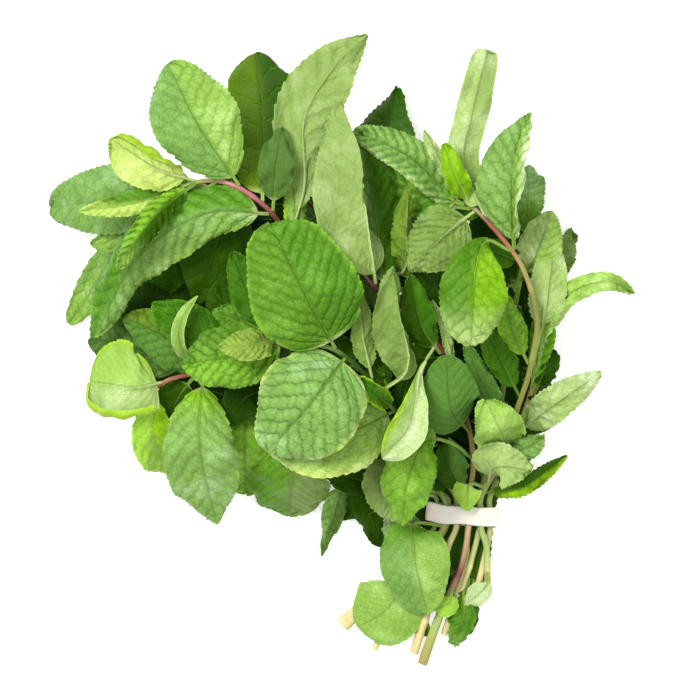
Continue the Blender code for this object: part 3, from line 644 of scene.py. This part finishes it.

# smaller leaves between them, each with the number of its stem; the ones in the tone inner carry painted shade
smallLeaves = [
    (4, leaf([(-69, 64, 55), (-80, 70, 55), (-90, 73, 50)], 12, relief=0.9)),
    (6, leaf([(25, 46, 29), (28.5, 62, 40), (30, 74, 43), (31, 84, 43)], 9, "leafy", pleat=0.3, midrib=0.3)),
    (2, leaf([(-90, 50, 29), (-100, 68, 22), (-112, 92, 20)], 28, "inner")),
    (2, leaf([(-97, 50, 30), (-102, 43, 27), (-107, 33, 22)], 15, "dark")),
    (3, leaf([(0, 113, 56), (-8, 126, 60), (-14, 138, 58)], 5, roll=170, under="palest")),
    (3, leaf([(15, 21, 19), (22, 23, 33), (29.5, 27, 32)], 10, "smooth")),
    (6, leaf([(25, 44, 28), (30, 52, 34), (33.5, 59, 34)], 9, "dark")),
    (7, leaf([(-24, 14, 9), (-26, 18, 27), (-26, 8, 29), (-25, -3, 24)], 20, roll=180, petiole=16)),
    (5, leaf([(-0.5, -30, 5.5), (-5, -33, 8), (-10.5, -35, 7)], 9, "glow", petiole=2, fold=0, wave=0.3,
        relief=0.2)),
    (8, flatLeaf([(-15, 6, 1), (-16.5, 0, 0.4), (-19, -9, 0.4)], 8, "dark", petiole=1, wave=0)),
    (10, flatLeaf([(14, 36, 8), (10, 48, 3), (2, 70, 1)], 26, "inner")),
    (6, flatLeaf([(19, 26, 15), (22, 38, 3), (23, 54, 1)], 15, "inner")),
    (10, flatLeaf([(10, 20, 7), (8, 30, 2), (2, 46, 1)], 18, "inner")),
    (10, flatLeaf([(20, 80, 22), (14, 92, 8), (4, 108, 2)], 18, "inner")),
    (10, flatLeaf([(9, 12, 6), (5, 21, 2), (-3, 34, 1)], 15, "inner")),
    (9, flatLeaf([(-46, 104, 37), (-53, 107, 20), (-60, 112, 4)], 16, "inner")),
    (9, flatLeaf([(-30, 86, 30), (-24, 88, 10), (-15, 92, 2)], 14, "inner")),
    (7, flatLeaf([(-45, 21, 13), (-40, 38, 4), (-33, 60, 1)], 22, "inner")),
    (8, leaf([(-16, -6, 5), (-23, -4.5, 8), (-27, -11.5, 6)], 11, "pale", petiole=3)),
    (10, leaf([(2.5, -29, 4), (0.5, -38, 6), (-3, -48, 3)], 9.5, "rich", tip="soft")),
    (8, leaf([(-14, -8, 4), (-13, -17, 2.6), (-16, -28, 1)], 9, "deep")),
    (7, leaf([(-20, -28, 3), (-17, -37, 3), (-13, -45, 1)], 8, "fresh")),
    (3, leaf([(-1, 111, 54), (-18, 116, 47), (-38, 126, 38)], 20, relief=0.8, pleat=0.3)),
    (5, leaf([(-31, 81, 52), (-31, 105, 50), (-37, 138, 52)], 17, "slate", right="dark", pleat=0.3)),
    (4, flatLeaf([(-7.5, -34, 0.5), (-7, -26, 0.4), (-8, -3, 0.4), (-12, 18, 0.5)], 14, "dark", blunt=0.3,
        wave=0)),
    (5, flatLeaf([(-4, -24, 0.5), (-3.4, -20, 0.4), (-1, -3, 0.4), (-4, 20, 0.5)], 14, "dark", blunt=0.3,
        wave=0)),
    (10, flatLeaf([(3, -34, 0.5), (3.4, -24, 0.4), (5, -3, 0.4), (6, 20, 0.5)], 13, "dark", blunt=0.3,
        wave=0)),
    (3, flatLeaf([(4, -32, 0.5), (5, -24, 0.4), (7, -3, 0.4), (13, 18, 0.5)], 9, "dark", blunt=0.3, wave=0)),
    (7, leaf([(-70, 34, 17), (-90, 44, 14), (-112, 50, 10)], 26, "inner")),
    (7, leaf([(-55, 25, 15), (-66, 38, 14), (-82, 54, 10)], 26, "inner")),
    (6, leaf([(25, 48, 29), (23, 66, 22), (22, 88, 14)], 18, "inner")),
    (10, leaf([(16, 54, 13), (2, 72, 12), (-20, 92, 10)], 26, "inner")),
    (4, leaf([(-16, 28, 30), (-14, 42, 28), (-16, 58, 26)], 14, "inner")),
    (8, leaf([(-30, 8, 9), (-38, 12, 14), (-50, 14, 13)], 12, "dark", petiole=1)),
    (10, leaf([(20, 80, 22), (20, 95, 26), (17, 110, 26)], 17, "dark")),
    (10, leaf([(14, 36, 8), (16, 48, 8), (14, 62, 8)], 13, "inner")),
    (2, leaf([(-98, 51, 29), (-112, 70, 22), (-119, 90, 14)], 22, "inner")),
    (7, leaf([(-28, 12, 9), (-36, 6, 10), (-44, -2, 4)], 14, "dark", petiole=1)),
    (5, leaf([(-2, 7, 10), (-4, 16, 19), (-5, 27, 28)], 13, "dark", right="satin", relief=0.2)),
    (1, leaf([(-116, 104, 33), (-125, 100, 31), (-134, 97, 27)], 15, "soft")),
    (1, leaf([(-61, 95, 51), (-60.5, 115, 52), (-62, 133, 52)], 9, "soft", rim="lime", relief=0.3)),
    (4, leaf([(-38, 53, 50), (-47, 59, 49), (-58, 62, 48)], 14, "dark")),
    (10, leaf([(3, -24, 2), (1, -36, 3), (-2, -47, 1)], 11, "deep", tip="fresh")),
    (9, leaf([(-36, 93, 33), (-28, 108, 30), (-22, 124, 20)], 24, "dark")),
    (2, leaf([(-88, 49, 30), (-104, 62, 36), (-122, 71, 32)], 20, "satin", right="olive", relief=0.7)),
    (2, leaf([(-82, 47, 28), (-92, 62, 38), (-112, 76, 38)], 19, "deep", veinLight=0.8, relief=0.7)),
    (2, leaf([(-80, 46, 28), (-84, 66, 36), (-88, 84, 34)], 20, "dark", relief=0.7)),
    (2, leaf([(-97, 52, 31), (-102, 62, 42), (-100.5, 71.5, 46), (-95.5, 78.5, 45)], 6.8, "soft", roll=40,
        fold=30, rim="palest", teeth=0.1, wave=0.2, relief=0.2)),
    (9, leaf([(-57, 112, 39), (-76, 100, 36), (-98, 82, 27)], 30, "dark")),
    (9, leaf([(-52, 108, 37), (-72, 92, 32), (-88, 74, 22)], 26, "dark")),
    (9, leaf([(-57, 113, 41), (-84, 110, 38), (-108, 98, 24)], 26, "inner")),
    (1, leaf([(-99, 119, 50), (-108, 104, 40), (-106, 80, 24)], 27, "dark", stalk="dark")),
    (1, leaf([(-82, 118, 54), (-88, 100, 42), (-96, 76, 28)], 24, "dark", stalk="dark")),
    (2, leaf([(-95, 51, 29), (-112, 64, 24), (-126, 80, 12)], 24, "dark")),
    (4, leaf([(-66, 66, 55), (-77, 80, 56), (-83, 94, 54)], 14, "deep")),
    (5, leaf([(-5, 52, 38), (-10, 68, 42), (-16, 88, 44)], 12, "dark")),
    (5, leaf([(-4, 50, 38), (-6, 64, 46), (-11, 77, 50)], 4, roll=170, under="palest")),
    (3, leaf([(14, 34, 26), (7, 48, 36), (0.5, 63, 40)], 8, "satin", relief=0.2)),
    (3, leaf([(21, 43, 36), (14, 55, 43), (7, 69, 46)], 11, "deep", stalk="deep")),
    (3, leaf([(24, 54, 44), (18, 66, 47), (15, 79, 48)], 10, "fresh", rim="lime", rimSide=-1)),
    (9, leaf([(-26, 78, 27), (-38, 74, 24), (-52, 66, 20)], 22, "inner")),
    (5, leaf([(-20, 71, 50), (-26, 76, 50), (-36, 88, 48)], 12, roll=180, under="grey")),
    (4, leaf([(-27, 42, 44), (-31, 48, 48), (-34, 55, 50)], 7, "dark")),
    (5, leaf([(-8, 58, 43), (-15, 68, 52), (-19, 86, 58)], 12, "dark", right="deep", relief=0.2)),
    (4, leaf([(-32, 50, 52), (-36, 64, 58), (-37, 80, 60)], 9, roll=170, under="shadedUnder")),
    (4, leaf([(-24, 38, 44), (-31, 43, 56), (-38, 50, 60)], 8, "deep", fold=30, rim="lime")),
    (4, leaf([(-27, 42, 44), (-29, 52, 48), (-30, 62, 50)], 7, "dark")),
    (2, leaf([(-70, 45, 22), (-78, 42, 30), (-86, 32, 26)], 14, "dark")),
]


def footOnStem(path, number, standOff):
    # the path with its foot moved to the side of its stem that faces the leaf
    axis = stemAxis(number, 240)
    path = np.array(path, float)
    nearest = min(max(int(np.argmin(np.linalg.norm(axis - path[0], axis=1))), 1), len(axis) - 2)
    tangent = unit(axis[nearest + 1] - axis[nearest - 1])
    outward = path[1] - axis[nearest]
    outward = unit(outward - tangent * outward.dot(tangent))
    path[0] = axis[nearest] + outward * standOff
    return path


def cellDistances(x, y, sizeX, sizeY):
    # distances, in mm, to the nearest and second nearest of points scattered one to each cell of a grid
    column, row = np.floor(x), np.floor(y)
    found = []
    for stepX in (-1, 0, 1):
        for stepY in (-1, 0, 1):
            i, j = column + stepX, row + stepY
            shiftX = 0.2 * np.sin(12.9 * i + 78.2 * j)
            shiftY = 0.34 * np.sin(39.3 * i + 11.1 * j + 2) + 0.5 * (i % 2) - 0.25
            found.append(np.hypot((i + 0.5 + shiftX - x) * sizeX, (j + 0.5 + shiftY - y) * sizeY))
    found = np.sort(np.stack(found), axis=0)
    return found[0], found[1]


def leafSurface(spec, number, detail=1.0):
    # Rows run along the midrib, columns across it. The half width is sin(pi t^fullest)^blunt; each half of a
    # row is drawn at the angle fold - droop v + curl, added up from the midrib; the vein relief moves points
    # along the normal. A greater detail makes a coarser leaf.
    values = leafValues
    path = smoothPath(footOnStem(spec["path"], number, stemValues["radius"] * 0.8), 400)
    length = np.linalg.norm(np.diff(path, axis=0), axis=1).sum()
    start = spec["petiole"] / length
    bladeLength = length * (1 - start)
    bladeRows = max(int(bladeLength / (values["rowStep"] * detail)), 10)
    x = np.linspace(0, 1, bladeRows)
    spread = 0.65 * x + 0.35 * (0.5 - 0.5 * np.cos(math.pi * x))
    petioleRows = max(int(spec["petiole"] / (values["petioleStep"] * detail)), 3)
    t = np.concatenate([np.linspace(0, start, petioleRows, endpoint=False), start + (1 - start) * spread])
    midrib = readAt(t, np.linspace(0, 1, len(path)), path)
    blade = ((t - start) / (1 - start))[:, None]
    columns = max(int(spec["width"] / (values["columnStep"] * detail)) // 2 * 2 + 1, 7)
    v = np.linspace(-1, 1, columns)[None, :]
    away = np.abs(v)
    tangent = unit(np.gradient(midrib, t, axis=0))
    side = unit(np.cross(tangent, (0, 0, 1)))
    up = np.cross(side, tangent)
    turn = np.radians(spec["roll"] + spec["twist"] * np.clip(blade, 0, 1) ** 2)
    side, up = side * np.cos(turn) + up * np.sin(turn), up * np.cos(turn) - side * np.sin(turn)

    inside = np.clip(blade, 0, 1)
    half = spec["width"] * 0.5 * np.clip(np.sin(math.pi * inside ** spec["fullest"]), 0, 1) ** spec["blunt"]
    half = np.maximum(half, np.where(blade <= 0, values["petioleWidth"], 0.18))
    spacing = bladeLength / spec["veins"]
    distance = away * half
    saw = (inside * bladeLength - values["toothLean"] * distance) / (spacing * values["toothStep"])
    saw = saw - np.floor(saw)
    widened = 1 + spec["teeth"] / np.maximum(half, 2) * (saw - 0.6) * away ** 8 * smoothStep(inside, 0.02, 0.1)
    setIn = smoothStep(inside, 0, spec["opens"])
    curlFrom = np.where(v < 0, spec["curlFrom"][0], spec["curlFrom"][1])
    curl = np.where(v < 0, spec["curl"][0], spec["curl"][1]) * smoothStep(away, curlFrom, 1)
    angle = np.radians((spec["fold"] - spec["droop"] * away + curl) * setIn)
    stepV = v[0, 1] - v[0, 0]

    def addedUp(slopes):
        # running sum from the midrib outwards
        middle = columns // 2
        steps = (slopes[:, 1:] + slopes[:, :-1]) / 2 * stepV
        sums = np.concatenate([np.zeros((len(t), 1)), np.cumsum(steps, axis=1)], axis=1)
        return sums - sums[:, middle:middle + 1]

    across = half * widened * addedUp(np.cos(angle))
    rise = half * addedUp(np.sin(angle) * np.sign(v))
    surface = midrib[:, None, :] + side[:, None, :] * across[..., None] + up[:, None, :] * rise[..., None]

    # side veins leave the midrib every spacing at about 45 degrees and bend towards the tip; below the first
    # they fan out from the foot; between them lie the puffed cells of the net
    s = inside * bladeLength
    lean = values["veinLean"] * distance + values["veinBend"] * distance ** 2 / max(spec["width"] / 2, 1)
    fan = -values["fanned"] * (1 - np.clip(s / np.maximum(lean, 1e-3), 0, 1))
    shifted = 0.35 * np.sign(v) * np.clip(distance / 1.5, 0, 1)
    wobble = 0.05 * np.sin(distance * 0.9 + 9 * inside) + 0.04 * np.sin(distance * 2.3 + 23 * inside)
    phi = np.where(s >= lean, (s - lean) / spacing, fan) + shifted + wobble + 40
    psi = (0.75 * distance + 0.66 * s) / values["netCell"]
    toSide = np.abs(phi - np.round(phi)) * spacing
    near, second = cellDistances(phi, psi + 50 * (v < 0), spacing, values["netCell"])
    puff = ((1 - np.exp(-((second - near) / values["netEdge"]) ** 2) * values["netDepth"] * spec["net"])
            * (1 - spec["ribs"] * np.exp(-(toSide / values["veinEdge"]) ** 2))
            * (1 - np.exp(-(distance / 0.6) ** 2) * (1 - 0.8 * inside)))
    puff = puff * (1 - 0.5 * away ** 8)
    seed = sum(spec["path"][-1]) + spec["width"]
    lumps = sum(np.sin(2 * math.pi * (a * inside + b * v) + seed * c) / (n + 1.5)
                for n, (a, b, c) in enumerate(values["lumps"]))
    pleats = -np.cos(2 * math.pi * phi) * smoothStep(distance, 0, 2)
    lift = ((spec["relief"] / detail * puff + spec["pleat"] * pleats) * np.clip(half / 6, 0.1, 1)
            + spec["wave"] * lumps * (0.3 + away ** 2) * setIn)
    surface = surface + normals(surface) * lift[..., None]
    normal = normals(surface)

    stalk = 1 - smoothStep(blade, -0.01, 0.06)
    thin = values["thickness"] / 2 * min(detail, values["thickest"]) * (1 - 0.6 * away ** 8)
    top = thin + values["petioleRise"] * np.sqrt(np.clip(1 - v ** 2, 0, 1)) * stalk * np.minimum(1, 0.9 / half)
    rib = values["ribRise"] * np.exp(-(distance / values["ribWidth"]) ** 2) * (1 - inside) ** 0.7
    upper = surface + normal * top[..., None]
    lower = surface - normal * (thin + rib)[..., None]
    upper[..., 2] = np.maximum(upper[..., 2], 0.4)
    lower[..., 2] = np.maximum(lower[..., 2], 0.03)
    fromMidrib = distance * np.sign(v) / spec["midrib"]
    net = np.stack(np.broadcast_arrays(phi, psi + 50 * (v < 0), fromMidrib), axis=-1)
    # how strongly the colour shows the relief: painted light on the cells and pleat ridges, painted shade in the
    # grooves and pleat valleys
    paintedRelief = 1 - (1 - puff) * min(spec["relief"] / 0.5, 1.3) + 0.6 * spec["pleat"] * pleats
    form = np.stack(np.broadcast_arrays(paintedRelief, spec["veinLight"], inside), axis=-1)
    return upper, lower, net, form, inside, v


def leafTints(spec, blade, v):
    # upper and under colours at each point: two halves, then rim, tip and foot
    away = np.abs(v)
    shape = np.broadcast_shapes(blade.shape, v.shape)
    result = []
    for main, other in ((spec["skin"], spec["right"]), (spec["under"], spec["underRight"])):
        colour = np.broadcast_to(tone[main], (*shape, 3)).copy()
        if other:
            colour += smoothStep(v, -0.22, 0.3)[..., None] * (tone[other] - tone[main])
        reach = np.where(v * spec["rimSide"] < 0, 0, away)
        for name, weight in ((spec["rim"], smoothStep(reach, 1 - spec["rimWidth"] * 1.5, 1.0)),
                             (spec["tip"], smoothStep(blade, 0.55, 1.0)),
                             (spec["foot"], 1 - smoothStep(blade, 0, 0.3))):
            if name:
                weight = np.broadcast_to(weight, shape)[..., None]
                colour = colour * (1 - weight) + tone[name] * weight
        # a painted highlight along every margin
        colour *= 1 + 0.3 * np.broadcast_to(smoothStep(away, 0.92, 1.0), shape)[..., None]
        stalk = np.broadcast_to(1 - smoothStep(blade, 0.0, 0.05), shape)[..., None]
        colour = colour * (1 - stalk) + tone[spec["stalk"]] * stalk
        result.append(np.concatenate([colour.reshape(-1, 3), np.ones((colour.size // 3, 1))], axis=1))
    return np.vstack(result)


def leafArrays(spec, number, detail=1.0):
    # a closed leaf's points, quads, material numbers and facts: upper grid, lower grid and the rim between them
    upper, lower, net, form, blade, v = leafSurface(spec, number, detail)
    rows, columns = upper.shape[:2]
    count = rows * columns
    quads = [gridQuads(rows, columns), gridQuads(rows, columns, count, flip=True)]
    rim = np.concatenate([np.arange(rows) * columns, (rows - 1) * columns + np.arange(1, columns),
                          np.arange(rows - 2, -1, -1) * columns + columns - 1, np.arange(columns - 2, 0, -1)])
    after = np.roll(rim, -1)
    quads.append(np.stack([rim, after, after + count, rim + count], axis=-1))
    slots = np.concatenate([np.zeros(len(quads[0])), np.ones(len(quads[1]) + len(quads[2]))])
    points = np.vstack([upper.reshape(-1, 3), lower.reshape(-1, 3)])
    facts = {"tint": leafTints(spec, blade, v), "veins": np.vstack([net.reshape(-1, 3)] * 2),
             "form": np.vstack([form.reshape(-1, 3)] * 2)}
    return points, np.vstack(quads), slots, facts


youngTones = {"young", "yellow", "lime", "vivid", "pleated"}
hiddenTones = {"dark", "inner", "deep"}
darkTones = hiddenTones | {"satin", "slate", "olive", "mossy"}


def finishOf(spec):
    # the material slot of the side that faces up
    if 90 < spec["roll"] % 360 < 270:
        return "leaf_underside"
    if spec["skin"] in youngTones:
        return "leaf_young"
    return "leaf_dark" if spec["skin"] == "dark" else "leaf_upper"


def leafPiece(name, spec, number, replaced=None):
    # a leaf as an object; hidden ones get a coarser grid
    hidden = spec["skin"] in hiddenTones and (spec["right"] or "inner") in hiddenTones
    points, quads, slots, facts = leafArrays(spec, number, leafValues["hiddenDetail"] if hidden else 1.0)
    dark = "darkLeaf" if spec["skin"] in darkTones else "upperLeaf"
    skin = "youngLeaf" if spec["skin"] in youngTones else dark
    makePiece(name, points, quads, [skins[skin], skins["leafUnderside"]], slots, finishOf(spec), replaced,
              **facts)


for (number, place), spec in leaves.items():
    leafPiece(f"mint_leaf_{number}_{place}", spec, number, f"stem_{number}_leaf_{place}")
for order, (number, spec) in enumerate(smallLeaves, 1):
    leafPiece(f"mint_small_leaf_{order}", spec, number)
print("leaves made:", len(leaves) + len(smallLeaves))

# leaves inside and under the bunch: "outline" is the edge of the leafy head seen from above, "every" is the
# distance between pairs along a stem, and each "probe"th point of a leaf is checked
innerValues = {"seed": 5, "start": 12, "every": 7.0, "shortest": 14, "longest": 30, "tries": 22, "detail": 2.6,
               "coarse": 3.0, "highest": 46, "probe": 23, "keptClear": (1, 2, 3),
               "outline": [(33, 75), (34, 100), (26, 110), (22, 130), (8, 128), (-15, 125), (-25, 148),
                           (-45, 165), (-60, 158), (-95, 158), (-108, 150), (-92, 125), (-128, 130),
                           (-145, 114), (-132, 95), (-135, 70), (-130, 45), (-116, 28), (-98, 10), (-76, 8),
                           (-45, -2), (-10, 0), (26, 13), (28, 28), (36, 40), (31, 60)]}


def isInside(points, outline):
    # counts how often a line to the right of each point crosses the outline
    x, y = points[:, None, 0], points[:, None, 1]
    start = np.array(outline, float)
    end = np.roll(start, -1, axis=0)
    crosses = (start[:, 1] > y) != (end[:, 1] > y)
    slope = (end[:, 0] - start[:, 0]) / np.where(end[:, 1] == start[:, 1], 1e-9, end[:, 1] - start[:, 1])
    return ((crosses & (x < start[:, 0] + (y - start[:, 1]) * slope)).sum(axis=1) % 2) == 1


def surfaceTree(points, quads):
    # for finding overlaps and ray hits
    return BVHTree.FromPolygons(points.tolist(), quads.tolist())


def joined(parts):
    # several leaves as one set of arrays
    facts = {key: np.vstack([part[3][key] for part in parts]) for key in parts[0][3]}
    firsts = np.cumsum([0] + [len(part[0]) for part in parts[:-1]])
    quads = np.vstack([part[1] + first for part, first in zip(parts, firsts)])
    return np.vstack([part[0] for part in parts]), quads, np.concatenate([part[2] for part in parts]), facts


def innerLeaf(foot, ahead, turn, random):
    # one leaf to the side of a stem: turned about it, leaning a little ahead, its tip hanging
    values = innerValues
    flatSide = unit(np.cross(ahead, (0, 0, 1)))
    outward = flatSide * math.cos(turn) + np.cross(flatSide, ahead) * math.sin(turn)
    outward = unit(outward + ahead * random.uniform(0.0, 0.9))
    length = random.uniform(values["shortest"], values["longest"])
    middle = foot + outward * length * 0.5 + (0, 0, random.uniform(-1, 3))
    tip = foot + outward * length * 0.92 - (0, 0, random.uniform(0, 0.35) * length)
    middle[2] = np.clip(middle[2], 1.5, values["highest"])
    tip[2] = np.clip(tip[2], 0.5, values["highest"])
    # most get the tone inner, painted shade of the depths of the bunch
    skin = ("inner", "inner", "dark", "deep")[random.integers(4)]
    return leaf([foot, middle, tip], length * random.uniform(0.4, 0.52), skin, roll=random.uniform(-25, 25),
                relief=0.3, wave=0.6, teeth=0.3, petiole=2, midrib=0.5, veins=6, under="shadedUnder",
                stalk="inner")


def highestHit(trees, point):
    # how high a ray straight down through the point meets the trees, or None
    x, y = point[:2]
    hits = (tree.ray_cast(Vector((x, y, 100)), Vector((0, 0, -1)))[0] for tree in trees)
    return max((hit.z for hit in hits if hit), default=None)


def innerLeaves():
    # pairs of leaves along every stem, each pair a quarter turn from the last; of several tries for a leaf that
    # touches nothing, the one that fills most gaps seen from above and covers least of the others is kept
    values = innerValues
    random = np.random.default_rng(values["seed"])
    outer = [(number, spec) for (number, place), spec in leaves.items()] + smallLeaves
    coarse = joined([leafArrays(spec, number, values["coarse"]) for number, spec in outer])
    taken = [surfaceTree(coarse[0], coarse[1])]
    keptClear = [surfaceTree(*stemShapes[number]) for number in values["keptClear"]]
    total = 0
    for number in stems:
        axis = stemAxis(number, 300)
        steps = distances(axis)
        start = np.interp(values["start"], axis[:, 1], steps)
        parts = []
        for pair, distance in enumerate(np.arange(start, steps[-1] - 2, values["every"])):
            foot, beyond = readAt((distance, distance + 3), steps, axis)
            ahead = unit(beyond - foot)
            for side in (0, math.pi):
                best = (0, None, None)
                for attempt in range(values["tries"]):
                    spec = innerLeaf(foot, ahead, side + pair * math.pi / 2 + random.uniform(-0.6, 0.6), random)
                    if not isInside(np.array(spec["path"][1:]), values["outline"]).all():
                        continue
                    part = leafArrays(spec, number, values["detail"])
                    tree = surfaceTree(part[0], part[1])
                    if any(tree.overlap(other) for other in taken):
                        continue
                    probes = part[0][::values["probe"]]
                    hits = [highestHit(taken + keptClear, point) for point in probes]
                    seen = 1 + sum(2 if hit is None else -3 if hit < point[2] else 0
                                   for hit, point in zip(hits, probes))
                    if seen > best[0]:
                        best = (seen, part, tree)
                if best[1]:
                    parts.append(best[1])
                    taken.append(best[2])
        if parts:
            total += len(parts)
            points, quads, slots, facts = joined(parts)
            makePiece(f"mint_inner_leaves_{number}", points, quads, [skins["darkLeaf"], skins["leafUnderside"]],
                      slots, "leaf_dark", **facts)
    print("inner leaves made:", total)


innerLeaves()


# a softbox is its place, size and power; sizes here are in metres
stageValues = {"floorSize": 40, "floorLight": 0.92, "floorGlow": 0.5, "roomLight": 0.31,
               "softboxes": {"leftSoftbox": ((-0.6, 0.5, 1.3), 0.6, 21),
                             "topSoftbox": ((0.35, -0.2, 1.6), 1.4, 14.5)}}


def makeStage():
    # a pale matt floor that glows a little
    light = stageValues["floorLight"]
    bpy.ops.mesh.primitive_plane_add(size=stageValues["floorSize"])
    floor = bpy.context.object
    floor.name = "pale_floor"
    made, tree, shader = newMaterial("paleFloor")
    plug(tree, shader, {"Base Color": (light, light, light, 1), "Roughness": 0.9, "Specular IOR Level": 0.1,
                        "Emission Color": (1, 1, 1, 1), "Emission Strength": stageValues["floorGlow"]})
    floor.data.materials.append(made)


def addLight(name, place, size, power, target=(0, 0, 0.03)):
    # a square softbox turned towards the bunch
    data = bpy.data.lights.new(name, "AREA")
    data.size = size
    data.energy = power
    light = bpy.data.objects.new(name, data)
    light.location = place
    light.rotation_euler = (Vector(target) - Vector(place)).to_track_quat("-Z", "Y").to_euler()
    bpy.context.scene.collection.objects.link(light)


def makeLights():
    world = bpy.data.worlds.new("paleRoom")
    world.use_nodes = True
    plug(world.node_tree, world.node_tree.nodes["Background"],
         {"Color": (1, 1, 1, 1), "Strength": stageValues["roomLight"]})
    bpy.context.scene.world = world
    for name, (place, size, power) in stageValues["softboxes"].items():
        addLight(name, place, size, power)


cameraValues = {"height": 5.0, "focusHeight": 0.05, "span": 0.252, "middle": (-40.68, 59.04), "sensor": 36}


def makeCamera():
    # looks straight down; the lens is chosen so that the span fills the frame at the height in focus
    data = bpy.data.cameras.new("camera")
    data.sensor_width = cameraValues["sensor"]
    distance = cameraValues["height"] - cameraValues["focusHeight"]
    data.lens = data.sensor_width * distance / cameraValues["span"]
    data.clip_end = 100
    camera = bpy.data.objects.new("camera", data)
    x, y = (np.array([*cameraValues["middle"], 0]) + bandMiddle)[:2] * mm
    camera.location = (x, y, cameraValues["height"])
    bpy.context.scene.collection.objects.link(camera)
    bpy.context.scene.camera = camera


makeStage()
makeLights()
makeCamera()
bpy.context.scene.view_settings.view_transform = "Standard"
print("stage, lights and camera made")
